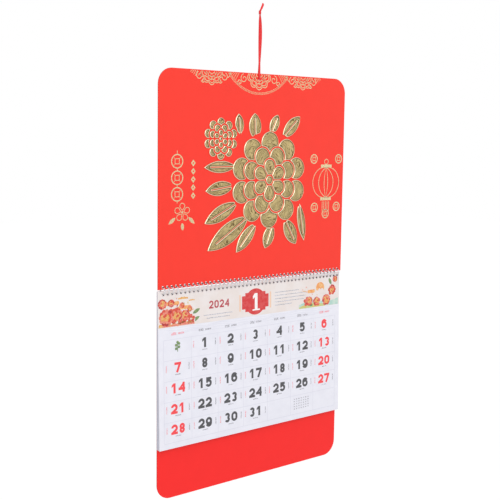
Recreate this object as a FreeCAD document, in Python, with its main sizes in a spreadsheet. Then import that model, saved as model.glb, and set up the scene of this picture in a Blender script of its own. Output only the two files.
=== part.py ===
import FreeCAD, Part
import math
import os
import Sketcher
from FreeCAD import Placement, Rotation, Vector

# A wall calendar: a red card headboard and backboard joined by a row of wire loops,
# a block of month pages on the same loops, and a ribbon with a knot to hang it from.
# Millimetres. +X to the viewer's right, +Y to the wall, +Z up. The origin is the point
# under the knot where a nail carries the ribbon. The month and dates are plain numbers.

os.makedirs("parts", exist_ok=True)
doc = FreeCAD.newDocument("WallCalendar")

sheet = doc.addObject("Spreadsheet::Sheet", "Sizes")
driving_sizes = [
    ("board_width", 400.0, "width of the headboard"),
    ("board_thick", 1.0, "thickness of both boards"),
    ("upper_height", 346.6, "height of the headboard"),
    ("lower_trim", 4.0, "how much narrower than the headboard the backboard is"),
    ("lower_height", 344.2, "height of the backboard"),
    ("corner_round", 26.0, "radius of the boards' outer corners"),
    ("sheet_shift", -2.5, "how far right of the headboard's middle the sheets' middle is"),
    ("pad_trim", 3.0, "how much narrower than the headboard the page block is"),
    ("pad_height", 258.6, "height of the page block"),
    ("pad_top_thick", 1.6, "thickness of the page block where it is bound"),
    ("pad_foot_thick", 8.0, "thickness of the fanned page block at its foot"),
    ("pad_back_y", 0.3, "how far behind the wire's axis the page block's back is"),
    ("lower_face_y", 0.5, "how far behind the wire's axis the backboard's face is"),
    ("loop_pitch", 25.4 / 3, "pitch of the loops, three to the inch"),
    ("row_margin", 8.0, "least card left beyond the first and last loop"),
    ("ring_radius", 6.2, "radius of a loop's centreline"),
    ("wire_thick", 0.9, "thickness of the wire"),
    ("loop_width", 2.6, "width across the two wires of a loop"),
    ("link_thick", 0.7, "thickness of the links between the loops"),
    ("link_angle", 62.0, "how far up the loops' back the links are, in degrees"),
    ("hole_side", 3.4, "side of a punched hole"),
    ("edge_above", 2.2, "from the wire's axis up to the headboard's edge"),
    ("edge_below", 0.2, "from the wire's axis down to the sheets' edges"),
    ("ribbon_drop", 95.4, "from the nail down to the headboard's top edge"),
    ("ribbon_hole_drop", 8.6, "from the top edge down to the ribbon's hole"),
    ("ribbon_hole_radius", 2.4, "radius of the ribbon's hole"),
    ("ribbon_thick", 1.5, "thickness of the gathered ribbon"),
    ("knot_radius", 3.6, "radius of the knot"),
    ("knot_height", 8.0, "height of the knot"),
    ("tail_length", 14.0, "length of the ribbon's tails above the knot"),
    ("tail_lean", 14.0, "lean of the tails to the right, in degrees"),
    ("relief_height", 2.2, "height of the gold relief"),
    ("relief_gap", 2.2, "red gap between two pieces of the relief"),
    ("relief_drop", 182.0, "from the top edge down to the relief's centre"),
    ("flower_radius", 80.0, "radius of the relief's large flower"),
    ("bud_radius", 34.0, "radius of the relief's small flower"),
    ("print_thick", 0.1, "thickness given to a printed or foil field"),
    ("foil_line", 1.1, "width of a foil line"),
    ("lace_radius", 82.0, "radius of the double arc over the headboard's top"),
    ("lace_drop", 34.6, "lowest point of that arc under the top edge"),
    ("header_height", 59.5, "height of the page's tinted header"),
    ("table_margin", 10.2, "page left beside the table of dates"),
    ("week_pitch", 33.9, "height of a week's row"),
    ("table_drop", 79.5, "from the page's top edge down to the first week"),
    ("digit_height", 16.5, "height of a date"),
    ("digit_width", 12.8, "width of a date's digit"),
    ("digit_stroke", 4.1, "stroke of a date's digit"),
    ("rule_width", 0.5, "width of the table's rules"),
]
for row, (alias, value, note) in enumerate(driving_sizes, 1):
    sheet.set(f"A{row}", note)
    sheet.set(f"B{row}", repr(value))
    sheet.setAlias(f"B{row}", alias)
doc.recompute()
size = {alias: float(sheet.get(alias)) for alias, value, note in driving_sizes}

# Levels that follow from those sizes, as formulas for the sketches and as numbers.
BOARD_TOP = "-Sizes.ribbon_drop"
AXIS = "-Sizes.ribbon_drop - Sizes.upper_height - Sizes.edge_above"
SHEETS_TOP = f"{AXIS} - Sizes.edge_below"
LAST_GAP = "floor((Sizes.board_width - 2 * Sizes.row_margin) / Sizes.loop_pitch)"
board_top = -size["ribbon_drop"]
axis_z = board_top - size["upper_height"] - size["edge_above"]
sheets_top = axis_z - size["edge_below"]
last_gap = int((size["board_width"] - 2 * size["row_margin"]) // size["loop_pitch"])
loop_count = last_gap + 1
first_loop = -last_gap * size["loop_pitch"] / 2
board_face = -size["board_thick"] / 2
page_width = size["board_width"] - size["pad_trim"]
column_pitch = (page_width - 2 * size["table_margin"]) / 7


# Sketches and bodies

def new_sketch(body, name, plane_role, offset=None):
    """An empty sketch on one of the body's own origin planes, or a set distance before it."""
    sketch = body.newObject("Sketcher::SketchObject", name)
    plane = [f for f in body.Origin.OriginFeatures if f.Role == plane_role][0]
    sketch.AttachmentSupport = (plane, [""])
    sketch.MapMode = "FlatFace"
    if offset:
        sketch.setExpression("AttachmentOffset.Base.z", offset)
    return sketch


def draw_polygon(sketch, corners):
    """A closed outline; each corner is a pair of formulas of the sheet."""
    values = [[float(sketch.evalExpression(text)) for text in pair] for pair in corners]
    points = [Vector(across, up, 0) for across, up in values]
    for number, start in enumerate(points):
        end = points[(number + 1) % len(points)]
        sketch.addGeometry(Part.LineSegment(start, end), False)
    for number in range(len(points)):
        after = (number + 1) % len(points)
        sketch.addConstraint(Sketcher.Constraint("Coincident", number, 2, after, 1))
    for number, pair in enumerate(corners):
        for kind, formula, value in zip(("DistanceX", "DistanceY"), pair, values[number]):
            place = Sketcher.Constraint(kind, -1, 1, number, 1, value)
            index = sketch.addConstraint(place)
            sketch.setExpression(f"Constraints[{index}]", formula)


def box_corners(left, right, low, high):
    """The corners of an upright rectangle, from four formulas."""
    return [(left, low), (right, low), (right, high), (left, high)]


def pad_out(body, sketch, length, side="One side", reverse=False):
    """A Pad of the sketch over a length from the sheet."""
    pad = body.newObject("PartDesign::Pad", f"{body.Label}_sheet")
    pad.Profile = sketch
    pad.SideType = side
    pad.Reversed = reverse
    pad.setExpression("Length", length)
    doc.recompute()
    return pad


def pocket_through(body, sketch):
    """A Pocket through the whole body, both ways from the sketch."""
    pocket = body.newObject("PartDesign::Pocket", f"{sketch.Name}_cut")
    pocket.Profile = sketch
    pocket.SideType = "Symmetric"
    pocket.Type = "ThroughAll"
    return pocket


def punch_row(body, level):
    """The row of square holes for the loops, at the height that the formula gives."""
    sketch = new_sketch(body, f"{body.Label}_hole", "XZ_Plane")
    start = f"-{LAST_GAP} * Sizes.loop_pitch / 2"
    half = "Sizes.hole_side / 2"
    sides = (f"{start} - {half}", f"{start} + {half}")
    draw_polygon(sketch, box_corners(*sides, f"{level} - {half}", f"{level} + {half}"))
    pocket = pocket_through(body, sketch)
    row = body.newObject("PartDesign::LinearPattern", f"{body.Label}_holes")
    row.Originals = [pocket]
    row.Direction = (sketch, ["H_Axis"])
    row.setExpression("Length", f"{LAST_GAP} * Sizes.loop_pitch")
    row.setExpression("Occurrences", f"{LAST_GAP} + 1")
    body.Tip = row
    doc.recompute()


def round_corners(body, pad, level):
    """Rounds the sheet's two outer corners, the edges through its thickness at that height."""
    names = []
    for number, edge in enumerate(pad.Shape.Edges, 1):
        ends = [vertex.Point for vertex in edge.Vertexes]
        if all(abs(p.z - level) < 1e-6 for p in ends) and abs(ends[0].y - ends[1].y) > 1e-6:
            names.append(f"Edge{number}")
    fillet = body.newObject("PartDesign::Fillet", f"{body.Label}_corners")
    fillet.Base = (pad, names)
    fillet.setExpression("Radius", "Sizes.corner_round")
    doc.recompute()


def build_upper_board():
    """The headboard: a card with two round corners, the row of holes and the ribbon's hole."""
    body = doc.addObject("PartDesign::Body", "upper_board")
    outline = new_sketch(body, "headboard_outline", "XZ_Plane")
    half = "Sizes.board_width / 2"
    foot = f"{BOARD_TOP} - Sizes.upper_height"
    draw_polygon(outline, box_corners(f"-{half}", half, foot, BOARD_TOP))
    pad = pad_out(body, outline, "Sizes.board_thick", "Symmetric")
    round_corners(body, pad, board_top)
    punch_row(body, f"{AXIS} + Sizes.ring_radius")
    hole = new_sketch(body, "ribbon_hole", "XZ_Plane")
    level = f"{BOARD_TOP} - Sizes.ribbon_hole_drop"
    centre = Vector(0, float(hole.evalExpression(level)), 0)
    hole.addGeometry(Part.Circle(centre, Vector(0, 0, 1), size["ribbon_hole_radius"]), False)
    hole.addConstraint(Sketcher.Constraint("PointOnObject", 0, 3, -2))
    height = hole.addConstraint(Sketcher.Constraint("DistanceY", -1, 1, 0, 3, centre.y))
    radius = hole.addConstraint(Sketcher.Constraint("Radius", 0, size["ribbon_hole_radius"]))
    hole.setExpression(f"Constraints[{height}]", level)
    hole.setExpression(f"Constraints[{radius}]", "Sizes.ribbon_hole_radius")
    body.Tip = pocket_through(body, hole)
    doc.recompute()
    return body


def build_lower_board():
    """The backboard: the same card behind the pages, with its round corners at the foot."""
    body = doc.addObject("PartDesign::Body", "lower_board")
    outline = new_sketch(body, "backboard_outline", "XZ_Plane", "-Sizes.lower_face_y")
    half = "(Sizes.board_width - Sizes.lower_trim) / 2"
    left, right = f"Sizes.sheet_shift - {half}", f"Sizes.sheet_shift + {half}"
    foot = f"{SHEETS_TOP} - Sizes.lower_height"
    draw_polygon(outline, box_corners(left, right, foot, SHEETS_TOP))
    pad = pad_out(body, outline, "Sizes.board_thick", reverse=True)
    round_corners(body, pad, sheets_top - size["lower_height"])
    punch_row(body, f"{AXIS} - Sizes.ring_radius")
    return body


def build_page_pad():
    """The block of pages: a wedge, thin where it is bound and fanned out at its foot."""
    body = doc.addObject("PartDesign::Body", "page_pad")
    outline = new_sketch(body, "page_section", "YZ_Plane", "Sizes.sheet_shift")
    foot = f"{SHEETS_TOP} - Sizes.pad_height"
    back = "Sizes.pad_back_y"
    draw_polygon(outline, [
        (back, SHEETS_TOP),
        (f"{back} - Sizes.pad_top_thick", SHEETS_TOP),
        (f"{back} - Sizes.pad_foot_thick", foot),
        (back, foot),
    ])
    pad_out(body, outline, "Sizes.board_width - Sizes.pad_trim", "Symmetric")
    punch_row(body, f"{AXIS} - Sizes.ring_radius")
    return body


def build_binding_wire():
    """The wire: each loop is a ring as wide as its two wires, linked to the next behind."""
    half = size["wire_thick"] / 2
    tubes = []
    for name, sign in (("loop_outside", "+"), ("loop_inside", "-")):
        tube = doc.addObject("Part::Cylinder", name)
        tube.setExpression("Radius", f"Sizes.ring_radius {sign} Sizes.wire_thick / 2")
        tube.setExpression("Height", "Sizes.loop_width")
        tubes.append(tube)
    ring = doc.addObject("Part::Cut", "loop_ring")
    ring.Base, ring.Tool = tubes
    doc.recompute()
    turn = Rotation(Vector(0, 1, 0), 90)
    loops = []
    for number in range(loop_count):
        left = first_loop + number * size["loop_pitch"] - size["loop_width"] / 2
        loop = ring.Shape.copy()
        loop.Placement = Placement(Vector(left, 0, axis_z), turn)
        loops.append(loop)
    side = size["link_thick"]
    tilt = Rotation(Vector(1, 0, 0), size["link_angle"])
    for number in range(last_gap):
        link = Part.makeBox(size["loop_pitch"], side, side, Vector(0, -side / 2, -side / 2))
        link.translate(Vector(first_loop + number * size["loop_pitch"], size["ring_radius"], 0))
        link.Placement = Placement(Vector(0, 0, axis_z), tilt).multiply(link.Placement)
        loops.append(link)
    wire = doc.addObject("Part::Feature", "binding_wire")
    wire.Shape = loops[0].multiFuse(loops[1:])
    return wire


# Flat outlines. They lie in the XZ plane and face the viewer, along -Y.

def spot(across, up):
    return Vector(across, 0, up)


def polar(centre, radius, degrees):
    """The point at that distance and angle from the centre; angles turn from +X to +Z."""
    turn = math.radians(degrees)
    return spot(centre[0] + radius * math.cos(turn), centre[1] + radius * math.sin(turn))


def closed_face(edges):
    """A face on the outline, its front towards the viewer."""
    face = Part.Face(Part.Wire(edges))
    if face.normalAt(0, 0).y > 0:
        face = Part.Face(Part.Wire([edge.reversed() for edge in edges[::-1]]))
    return face


def polygon(points):
    corners = [spot(*point) for point in points]
    sides = zip(corners, corners[1:] + corners[:1])
    return closed_face([Part.makeLine(*ends) for ends in sides])


def rectangle(left, right, low, high):
    return polygon([(left, low), (right, low), (right, high), (left, high)])


def bar(start, end, width):
    """A straight stroke with square ends."""
    run = math.hypot(end[0] - start[0], end[1] - start[1])
    across = (-(end[1] - start[1]) / run * width / 2, (end[0] - start[0]) / run * width / 2)
    sides = [(p[0] + s * across[0], p[1] + s * across[1])
             for p, s in ((start, 1), (end, 1), (end, -1), (start, -1))]
    return polygon(sides)


def disc(centre, radius):
    circle = Part.Circle(spot(*centre), Vector(0, -1, 0), radius)
    return closed_face([circle.toShape()])


def hoop(centre, outer, inner):
    return disc(centre, outer).cut(disc(centre, inner))


def sector(centre, outer, inner, start, end):
    """Part of a hoop, from one angle up to the other."""
    middle = (start + end) / 2
    outside = Part.Arc(polar(centre, outer, start), polar(centre, outer, middle),
                       polar(centre, outer, end)).toShape()
    inside = Part.Arc(polar(centre, inner, end), polar(centre, inner, middle),
                      polar(centre, inner, start)).toShape()
    sides = [Part.makeLine(polar(centre, outer, end), polar(centre, inner, end)),
             Part.makeLine(polar(centre, inner, start), polar(centre, outer, start))]
    return closed_face([outside, sides[0], inside, sides[1]])


def drop(small, small_radius, large, large_radius):
    """A petal: the outline pulled tight round a small and a large circle."""
    run = math.hypot(large[0] - small[0], large[1] - small[1])
    heading = math.degrees(math.atan2(large[1] - small[1], large[0] - small[0]))
    spread = math.degrees(math.acos((small_radius - large_radius) / run))
    ends = []
    for centre, radius, back in ((large, large_radius, 0), (small, small_radius, 180)):
        sides = (heading - spread, heading + spread)
        if back:
            sides = sides[::-1]
        ends.append((polar(centre, radius, sides[0]), polar(centre, radius, heading + back),
                     polar(centre, radius, sides[1])))
    far, near = ends
    return closed_face([
        Part.Arc(*far).toShape(),
        Part.makeLine(far[2], near[0]),
        Part.Arc(*near).toShape(),
        Part.makeLine(near[2], far[0]),
    ])


def leaf(base, tip, width):
    """A pointed leaf between two arcs."""
    across = (-(tip[1] - base[1]), tip[0] - base[0])
    run = math.hypot(*across)
    middle = ((base[0] + tip[0]) / 2, (base[1] + tip[1]) / 2)
    sides = [spot(middle[0] + s * across[0] / run * width / 2,
                  middle[1] + s * across[1] / run * width / 2) for s in (1, -1)]
    return closed_face([Part.Arc(spot(*base), sides[1], spot(*tip)).toShape(),
                        Part.Arc(spot(*tip), sides[0], spot(*base)).toShape()])


def petals(centre, count, near, near_radius, far, far_radius, first=90.0, share=360.0):
    """A ring of petals round a centre, as the list of their circles."""
    ring = []
    for number in range(count):
        turn = math.radians(first + share * number / count)
        ring.append([
            (centre[0] + near * math.cos(turn), centre[1] + near * math.sin(turn)), near_radius,
            (centre[0] + far * math.cos(turn), centre[1] + far * math.sin(turn)), far_radius,
        ])
    return ring


def grown(petal, gap):
    small, small_radius, large, large_radius = petal
    return drop(small, small_radius + gap, large, large_radius + gap)


def raise_flat(faces, height, front):
    """Solids of that height on the plane y = front, one for each face."""
    solids = []
    for face in faces:
        for piece in face.Faces:
            solid = piece.extrude(Vector(0, -height, 0))
            solid.translate(Vector(0, front, 0))
            solids.append(solid)
    return solids


def joined(shapes):
    """One face, or a few that lie apart, from faces that overlap."""
    faces = [face for shape in shapes for face in shape.Faces]
    return faces[0].multiFuse(faces[1:]).removeSplitter()


def add_node(name, solids, placement=None):
    node = doc.addObject("Part::Feature", name)
    node.Shape = Part.makeCompound(solids)
    if placement:
        node.Placement = placement
    return node


# The headboard's gold

def flower_rings(centre, radius, gap):
    """The rings of a full flower, from its heart out, each a list of petals."""
    rings = []
    for count, reach, root, first in ((6, 0.30, 0.15, 90), (8, 0.53, 0.36, 67.5),
                                      (10, 0.79, 0.58, 90)):
        lobe = math.pi * reach * radius / count - gap / 2
        rings.append(petals(centre, count, root * radius, 0.45 * lobe, reach * radius, lobe,
                            first))
    return rings


def flower_faces(centre, radius, gap):
    """The flower's visible petals, each trimmed where the ring inside it lies over it."""
    faces = [disc(centre, 0.09 * radius)]
    over = [disc(centre, 0.09 * radius + gap)]
    for ring in flower_rings(centre, radius, gap):
        faces += [drop(*petal).cut(over[0].multiFuse(over[1:]) if over[1:] else over[0])
                  for petal in ring]
        over = [grown(petal, gap) for petal in ring]
    return faces


def build_relief(name):
    """A spray with a full flower, a small one, leaves and a stem, raised from the board."""
    gap = size["relief_gap"]
    middle = board_top - size["relief_drop"]
    large, small = size["flower_radius"], size["bud_radius"]
    flower = (0.31 * large, middle + 0.06 * large)
    bud = (flower[0] - 1.3 * large, flower[1] + 0.86 * large)
    faces = flower_faces(flower, large, gap) + flower_faces(bud, small, gap)
    cover = [disc(flower, large + gap)] + [disc(bud, small + gap)]
    reach = large / 80
    leaves = [
        ((-0.55, -0.75), (-1.62, -1.42), 34), ((-0.35, -0.9), (-0.88, -1.5), 24),
        ((0.1, -0.95), (-0.1, -1.46), 24), ((0.45, -0.85), (0.78, -1.42), 27),
        ((0.85, -0.5), (1.02, -1.36), 18), ((-0.85, -0.45), (-1.7, -0.86), 26),
        ((-0.95, -0.1), (-1.68, -0.2), 24), ((-0.9, 0.3), (-1.72, 0.28), 20),
        ((0.35, 0.9), (0.84, 1.36), 24), ((0.02, 0.98), (0.22, 1.38), 20),
        ((-0.4, 0.85), (-0.42, 1.4), 26), ((-0.8, 0.95), (-0.85, 1.38), 18),
    ]
    for (x1, z1), (x2, z2), width in leaves:
        base = (flower[0] + x1 * large, flower[1] + z1 * large)
        tip = (flower[0] + x2 * large, flower[1] + z2 * large)
        blade = leaf(base, tip, width * reach)
        vein = bar(base, (0.8 * tip[0] + 0.2 * base[0], 0.8 * tip[1] + 0.2 * base[1]), 0.6 * gap)
        faces.append(blade.cut(cover[0].multiFuse(cover[1:] + [vein])))
        cover.append(leaf((1.06 * base[0] - 0.06 * tip[0], 1.06 * base[1] - 0.06 * tip[1]),
                          (1.06 * tip[0] - 0.06 * base[0], 1.06 * tip[1] - 0.06 * base[1]),
                          width * reach + 2 * gap))
    return add_node(name, raise_flat(faces, size["relief_height"], board_face))


def half_flower(centre, radius, line):
    """A line drawing of a flower seen from above: petals in outline round a heart."""
    faces = [hoop(centre, 0.16 * radius, 0.16 * radius - line), disc(centre, 0.05 * radius)]
    for count, root, reach in ((8, 0.26, 0.44), (12, 0.6, 0.82)):
        lobe = math.pi * reach * radius / count - 0.4 * line
        for petal in petals(centre, count, root * radius, 0.5 * lobe, reach * radius, lobe):
            faces.append(grown(petal, 0).cut(grown(petal, -line)))
            faces.append(bar(petal[0], petal[2], line))
    return faces


def build_lace(name):
    """The foil ornament hung from the top edge: a double arc with flowers inside and beside."""
    line, reach = size["foil_line"], size["lace_radius"]
    centre = (0, board_top - size["lace_drop"] + reach)
    outer = reach + 5 * line
    limit = math.degrees(math.acos(min((centre[1] - board_top + 2 * line) / outer, 0.99)))
    faces = []
    for radius, teeth in ((reach, 0), (outer, 26)):
        if not teeth:
            faces.append(sector(centre, radius, radius - line, -90 - limit, -90 + limit))
        for number in range(teeth):
            start = -90 - limit + 2 * limit * number / teeth
            faces.append(sector(centre, radius, radius - 2 * line, start,
                                start + 1.3 * limit / teeth))
    flower = 0.31 * reach
    faces += half_flower((0, board_top), 1.02 * flower, line)
    side = 0.74 * reach
    for sign in (-1, 1):
        faces += half_flower((sign * side * 1.64, board_top), 0.98 * flower, line)
        faces += half_flower((sign * 0.52 * reach, board_top), 0.62 * flower, line)
    half = size["board_width"] / 2 - 2 * line
    board = rectangle(-half, half, board_top - 0.6 * size["relief_drop"], board_top - line)
    hole = disc((0, board_top - size["ribbon_hole_drop"]), size["ribbon_hole_radius"] + line)
    shown = [face.common(board).cut(hole) for face in faces]
    solids = raise_flat(shown, size["print_thick"], board_face)
    return add_node(name, solids[0].multiFuse(solids[1:]).removeSplitter().Solids)


def coin(centre, radius, line):
    """A round coin with a square hole."""
    half = 0.3 * radius
    low, high = centre[1] - half, centre[1] + half
    hole = rectangle(centre[0] - half, centre[0] + half, low, high)
    frame = rectangle(centre[0] - half - line, centre[0] + half + line, low - line, high + line)
    ticks = [bar(polar_pair(centre, 0.62 * radius, a), polar_pair(centre, 0.74 * radius, a), line)
             for a in range(45, 360, 90)]
    return [hoop(centre, radius, radius - 1.6 * line), frame.cut(hole)] + ticks


def polar_pair(centre, radius, degrees):
    point = polar(centre, radius, degrees)
    return (point.x, point.z)


def build_left_motif(name):
    """Foil at the left: a hanging chain of coins, a row of diamonds and a small blossom."""
    line = size["foil_line"]
    across = -0.41 * size["board_width"]
    top = board_top - 0.7 * size["relief_drop"]
    faces = []
    for number in range(3):
        faces += coin((across, top - 17 - 26 * number), 11.5, line)
        faces.append(bar((across, top - 28.5 - 26 * number), (across, top - 31.5 - 26 * number),
                         line))
    faces.append(bar((across, top), (across, top - 5.5), line))
    second = across + 31
    for number in range(5):
        middle = top - 20 - 13 * number
        outer = [(second, middle + 5.5), (second + 4.5, middle), (second, middle - 5.5),
                 (second - 4.5, middle)]
        faces.append(polygon(outer).cut(disc((second, middle), 1.4)))
    blossom = (across + 10, top - 98)
    for petal in petals(blossom, 5, 5, 2, 10, 5.2):
        faces.append(grown(petal, 0).cut(grown(petal, -line)))
    faces.append(disc(blossom, 2))
    for start, end in (((-13, -8), (-26, -18)), ((12, -8), (24, -19)), ((0, -17), (1, -29))):
        faces.append(leaf((blossom[0] + start[0], blossom[1] + start[1]),
                          (blossom[0] + end[0], blossom[1] + end[1]), 6))
    return add_node(name, raise_flat(faces, size["print_thick"], board_face))


def build_right_motif(name):
    """Foil at the right: a ribbed paper lantern with a tassel, coins and a pair of clouds."""
    line = size["foil_line"]
    centre = (0.395 * size["board_width"], board_top - size["relief_drop"] - 2)
    faces = []
    tall, wide = 27, 33
    for share in (0.15, 0.55, 0.98):
        width = 2 * share * wide
        outside = leaf((centre[0], centre[1] + tall), (centre[0], centre[1] - tall), width)
        inside = leaf((centre[0], centre[1] + tall - line), (centre[0], centre[1] - tall + line),
                      width - 2 * line)
        faces.append(outside.cut(inside))
    for up in (tall, -tall - 5):
        faces.append(rectangle(centre[0] - 13, centre[0] + 13, centre[1] + up, centre[1] + up + 5))
    faces.append(hoop((centre[0], centre[1] + tall + 10), 5, 5 - line))
    for number in range(5):
        across = centre[0] - 8 + 4 * number
        faces.append(bar((across, centre[1] - tall - 7), (across, centre[1] - tall - 24), line))
    for across, up in ((-27, -44), (0, -56), (27, -44), (-30, 42), (30, 42)):
        faces += coin((centre[0] + across, centre[1] + up), 8.5, line)
    return add_node(name, raise_flat(faces, size["print_thick"], board_face))


# The page's print. Its fields are drawn upright, with the page's top edge at height 0 and
# the sheet's middle at 0 across, and then laid on the tilted front of the page block.

def lay_on_page(name, faces, layer=0):
    """A printed node on the page's front; a higher layer lies over the one below it."""
    flare = size["pad_foot_thick"] - size["pad_top_thick"]
    tilt = -math.degrees(math.atan2(flare, size["pad_height"]))
    front = size["pad_back_y"] - size["pad_top_thick"]
    on_page = Placement(Vector(size["sheet_shift"], front, sheets_top),
                        Rotation(Vector(1, 0, 0), tilt))
    thick = size["print_thick"]
    return add_node(name, raise_flat(faces, thick, -layer * thick), on_page)


def digit_face(value, height, width, stroke):
    """A plain digit, centred on 0."""
    top, side = height / 2, width / 2
    bend = height / 4 + stroke / 4
    inner = side - stroke
    lobe = (0, top - side)
    if value == 0:
        outer = drop((0, -lobe[1] + 0.01), side, (0, lobe[1]), side)
        return outer.cut(drop((0, -lobe[1] + 0.01), inner, (0, lobe[1]), inner))
    if value == 1:
        stem = rectangle(-0.1 * width, -0.1 * width + stroke, -top, top)
        flag = polygon([(-0.1 * width, top), (-0.1 * width, top - 1.1 * stroke),
                        (-0.38 * width, top - 1.7 * stroke), (-0.38 * width, top - 0.8 * stroke)])
        return joined([stem, flag])
    if value == 2:
        bowl = sector(lobe, side, inner, -38, 172)
        heel = (-side + stroke / 2, -top + stroke / 2)
        shaft = bar(polar_pair(lobe, side - stroke / 2, -32), heel, stroke)
        return joined([bowl, shaft, rectangle(-side, side, -top, -top + stroke)])
    if value == 3:
        upper = sector((0, top - bend), bend, bend - stroke, -92, 160)
        return joined([upper, sector((0, bend - top), bend, bend - stroke, -160, 92)])
    if value == 4:
        stem = rectangle(0.12 * width, 0.12 * width + stroke, -top, top)
        arm = rectangle(-side, side, -0.27 * height, -0.27 * height + stroke)
        slope = bar((0.12 * width + stroke / 2, top - stroke / 2),
                    (-side + stroke / 2, -0.27 * height + stroke / 2), 0.8 * stroke)
        return joined([stem, arm, slope])
    if value == 5:
        bowl = sector((0, side - top), side, inner, -160, 130)
        head = rectangle(-0.38 * width, 0.42 * width, top - stroke, top)
        return joined([bowl, head, rectangle(-0.38 * width, -0.38 * width + 0.9 * stroke,
                                             -0.06 * height, top)])
    if value == 6:
        bowl = hoop((0, side - top), side, inner)
        return joined([bowl, sector(lobe, side, inner, 20, 180),
                       rectangle(-side, -inner, side - top, lobe[1])])
    if value == 7:
        head = rectangle(-side, side, top - stroke, top)
        return joined([head, bar((side - stroke / 2, top - stroke / 2), (-0.12 * width, -top),
                                 stroke)])
    if value == 8:
        upper = hoop((0, top - bend), bend, bend - stroke)
        return joined([upper, hoop((0, bend - top), bend, bend - stroke)])
    turned = digit_face(6, height, width, stroke)
    turned.rotate(Vector(0, 0, 0), Vector(0, 1, 0), 180)
    return turned


def number_faces(text, across, up, height, width, stroke, step):
    """A number's digits side by side, centred on a point."""
    faces = []
    for place, figure in enumerate(text):
        face = digit_face(int(figure), height, width, stroke)
        face.translate(spot(across + (place - (len(text) - 1) / 2) * step, up))
        faces.append(face)
    return faces


def column_middle(column):
    return (column - 3) * column_pitch


def week_middle(week):
    return -size["table_drop"] - (week + 0.37) * size["week_pitch"]


def date_cells():
    """Each day of the month with its column and week; the month starts on the second column."""
    for day in range(1, 32):
        yield day, day % 7, day // 7


def build_dates(name, weekend):
    """The dates of the weekend's two outer columns, or of the five columns between them."""
    faces = []
    for day, column, week in date_cells():
        if (column in (0, 6)) == weekend:
            faces += number_faces(str(day), column_middle(column), week_middle(week),
                                  size["digit_height"], size["digit_width"],
                                  size["digit_stroke"], 1.17 * size["digit_width"])
    return lay_on_page(name, faces)


def build_rules(name):
    """The table's ruled lines."""
    width, depth = 7 * column_pitch, 5 * size["week_pitch"]
    half = size["rule_width"] / 2
    top = -size["table_drop"]
    faces = []
    for number in range(6):
        level = top - number * size["week_pitch"]
        faces.append(rectangle(-width / 2, width / 2, level - half, level + half))
    for number in range(8):
        across = -width / 2 + number * column_pitch
        faces.append(rectangle(across - half, across + half, top - depth, top))
    return lay_on_page(name, [joined(faces)])


def build_marks(name, weekend):
    """Small bars for the weekdays' names and for the notes beside each date."""
    faces = []
    pitch = column_pitch
    level = -size["table_drop"] + 8.9
    for column in range(7):
        if (column in (0, 6)) == weekend:
            middle = column_middle(column)
            faces.append(rectangle(middle - 0.22 * pitch, middle - 0.04 * pitch, level - 2.2,
                                   level + 2.2))
            faces.append(rectangle(middle + 0.02 * pitch, middle + 0.24 * pitch, level - 1.4,
                                   level + 1.4))
    for day, column, week in date_cells():
        middle, up = column_middle(column), week_middle(week)
        mark = middle + (0.41 if not weekend else -0.41) * pitch
        faces.append(rectangle(mark - 0.9, mark + 0.9, up - 6.4, up + 5.2))
        if not weekend:
            note = up - 0.7 * size["digit_height"]
            faces.append(rectangle(middle - 5.5, middle + 5.5, note - 0.8, note + 0.8))
    return lay_on_page(name, faces)


def build_header_band(name):
    """The tinted header, with the row of holes through it."""
    half = page_width / 2
    band = rectangle(-half, half, -size["header_height"], 0)
    side = size["hole_side"] / 2
    level = size["edge_below"] - size["ring_radius"]
    holes = []
    for number in range(loop_count):
        middle = first_loop + number * size["loop_pitch"] - size["sheet_shift"]
        holes.append(rectangle(middle - side, middle + side, level - side, level + side))
    return lay_on_page(name, [band.cut(holes[0].multiFuse(holes[1:]))])


def blossom(centre, radius, count=5, first=90.0):
    """A small blossom of separate petals."""
    lobe = math.pi * 0.62 * radius / count - 0.02 * radius
    ring = petals(centre, count, 0.3 * radius, 0.4 * lobe, 0.62 * radius, lobe, first)
    return [drop(*petal) for petal in ring]


def build_month_plate(name):
    """The red plate behind the month's number: a round middle with stepped sides."""
    middle, half = -0.59 * size["header_height"], 0.38 * size["header_height"]
    faces = [disc((0, middle), half)]
    for wide, deep in ((0.98, 0.72), (1.29, 0.5)):
        faces.append(rectangle(-wide * half, wide * half, middle - deep * half,
                               middle + deep * half))
    return lay_on_page(name, [joined(faces)], 1)


def build_plate_sides(name):
    """The two short pale bands beside the plate."""
    middle, half = -0.59 * size["header_height"], 0.38 * size["header_height"]
    faces = [rectangle(sign * 1.48 * half - 0.07 * half, sign * 1.48 * half + 0.07 * half,
                       middle - 0.62 * half, middle + 0.62 * half) for sign in (-1, 1)]
    return lay_on_page(name, faces, 1)


def build_month_number(name):
    """The month's number, white on the plate."""
    height = 0.5 * size["header_height"]
    face = number_faces("1", 0, -0.6 * size["header_height"], height, 0.5 * height,
                        0.2 * height, height)[0]
    foot = rectangle(-0.22 * height, 0.32 * height, -1.1 * height - 0.5 * height,
                     -1.1 * height - 0.42 * height)
    foot.translate(spot(0, 1.1 * height - 0.6 * size["header_height"]))
    return lay_on_page(name, [joined([face, foot])], 2)


def build_year(name):
    """The year in small red figures."""
    height = 0.22 * size["header_height"]
    across, level = -0.195 * page_width, -0.52 * size["header_height"]
    faces = number_faces("2024", across, level, height, 0.68 * height, 0.19 * height,
                         0.83 * height)
    return lay_on_page(name, faces, 1)


def header_flowers():
    """Centre and radius of each blossom at the two ends of the header."""
    half, deep = page_width / 2, size["header_height"]
    places = ((-0.9, 0.72, 0.3), (-0.79, 0.8, 0.24), (-0.7, 0.84, 0.19), (0.62, 0.8, 0.2),
              (0.74, 0.83, 0.2), (0.93, 0.55, 0.2), (0.86, 0.83, 0.22))
    return [((across * (half - 0.1 * deep), -up * deep), radius * 0.75 * deep)
            for across, up, radius in places]


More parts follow.
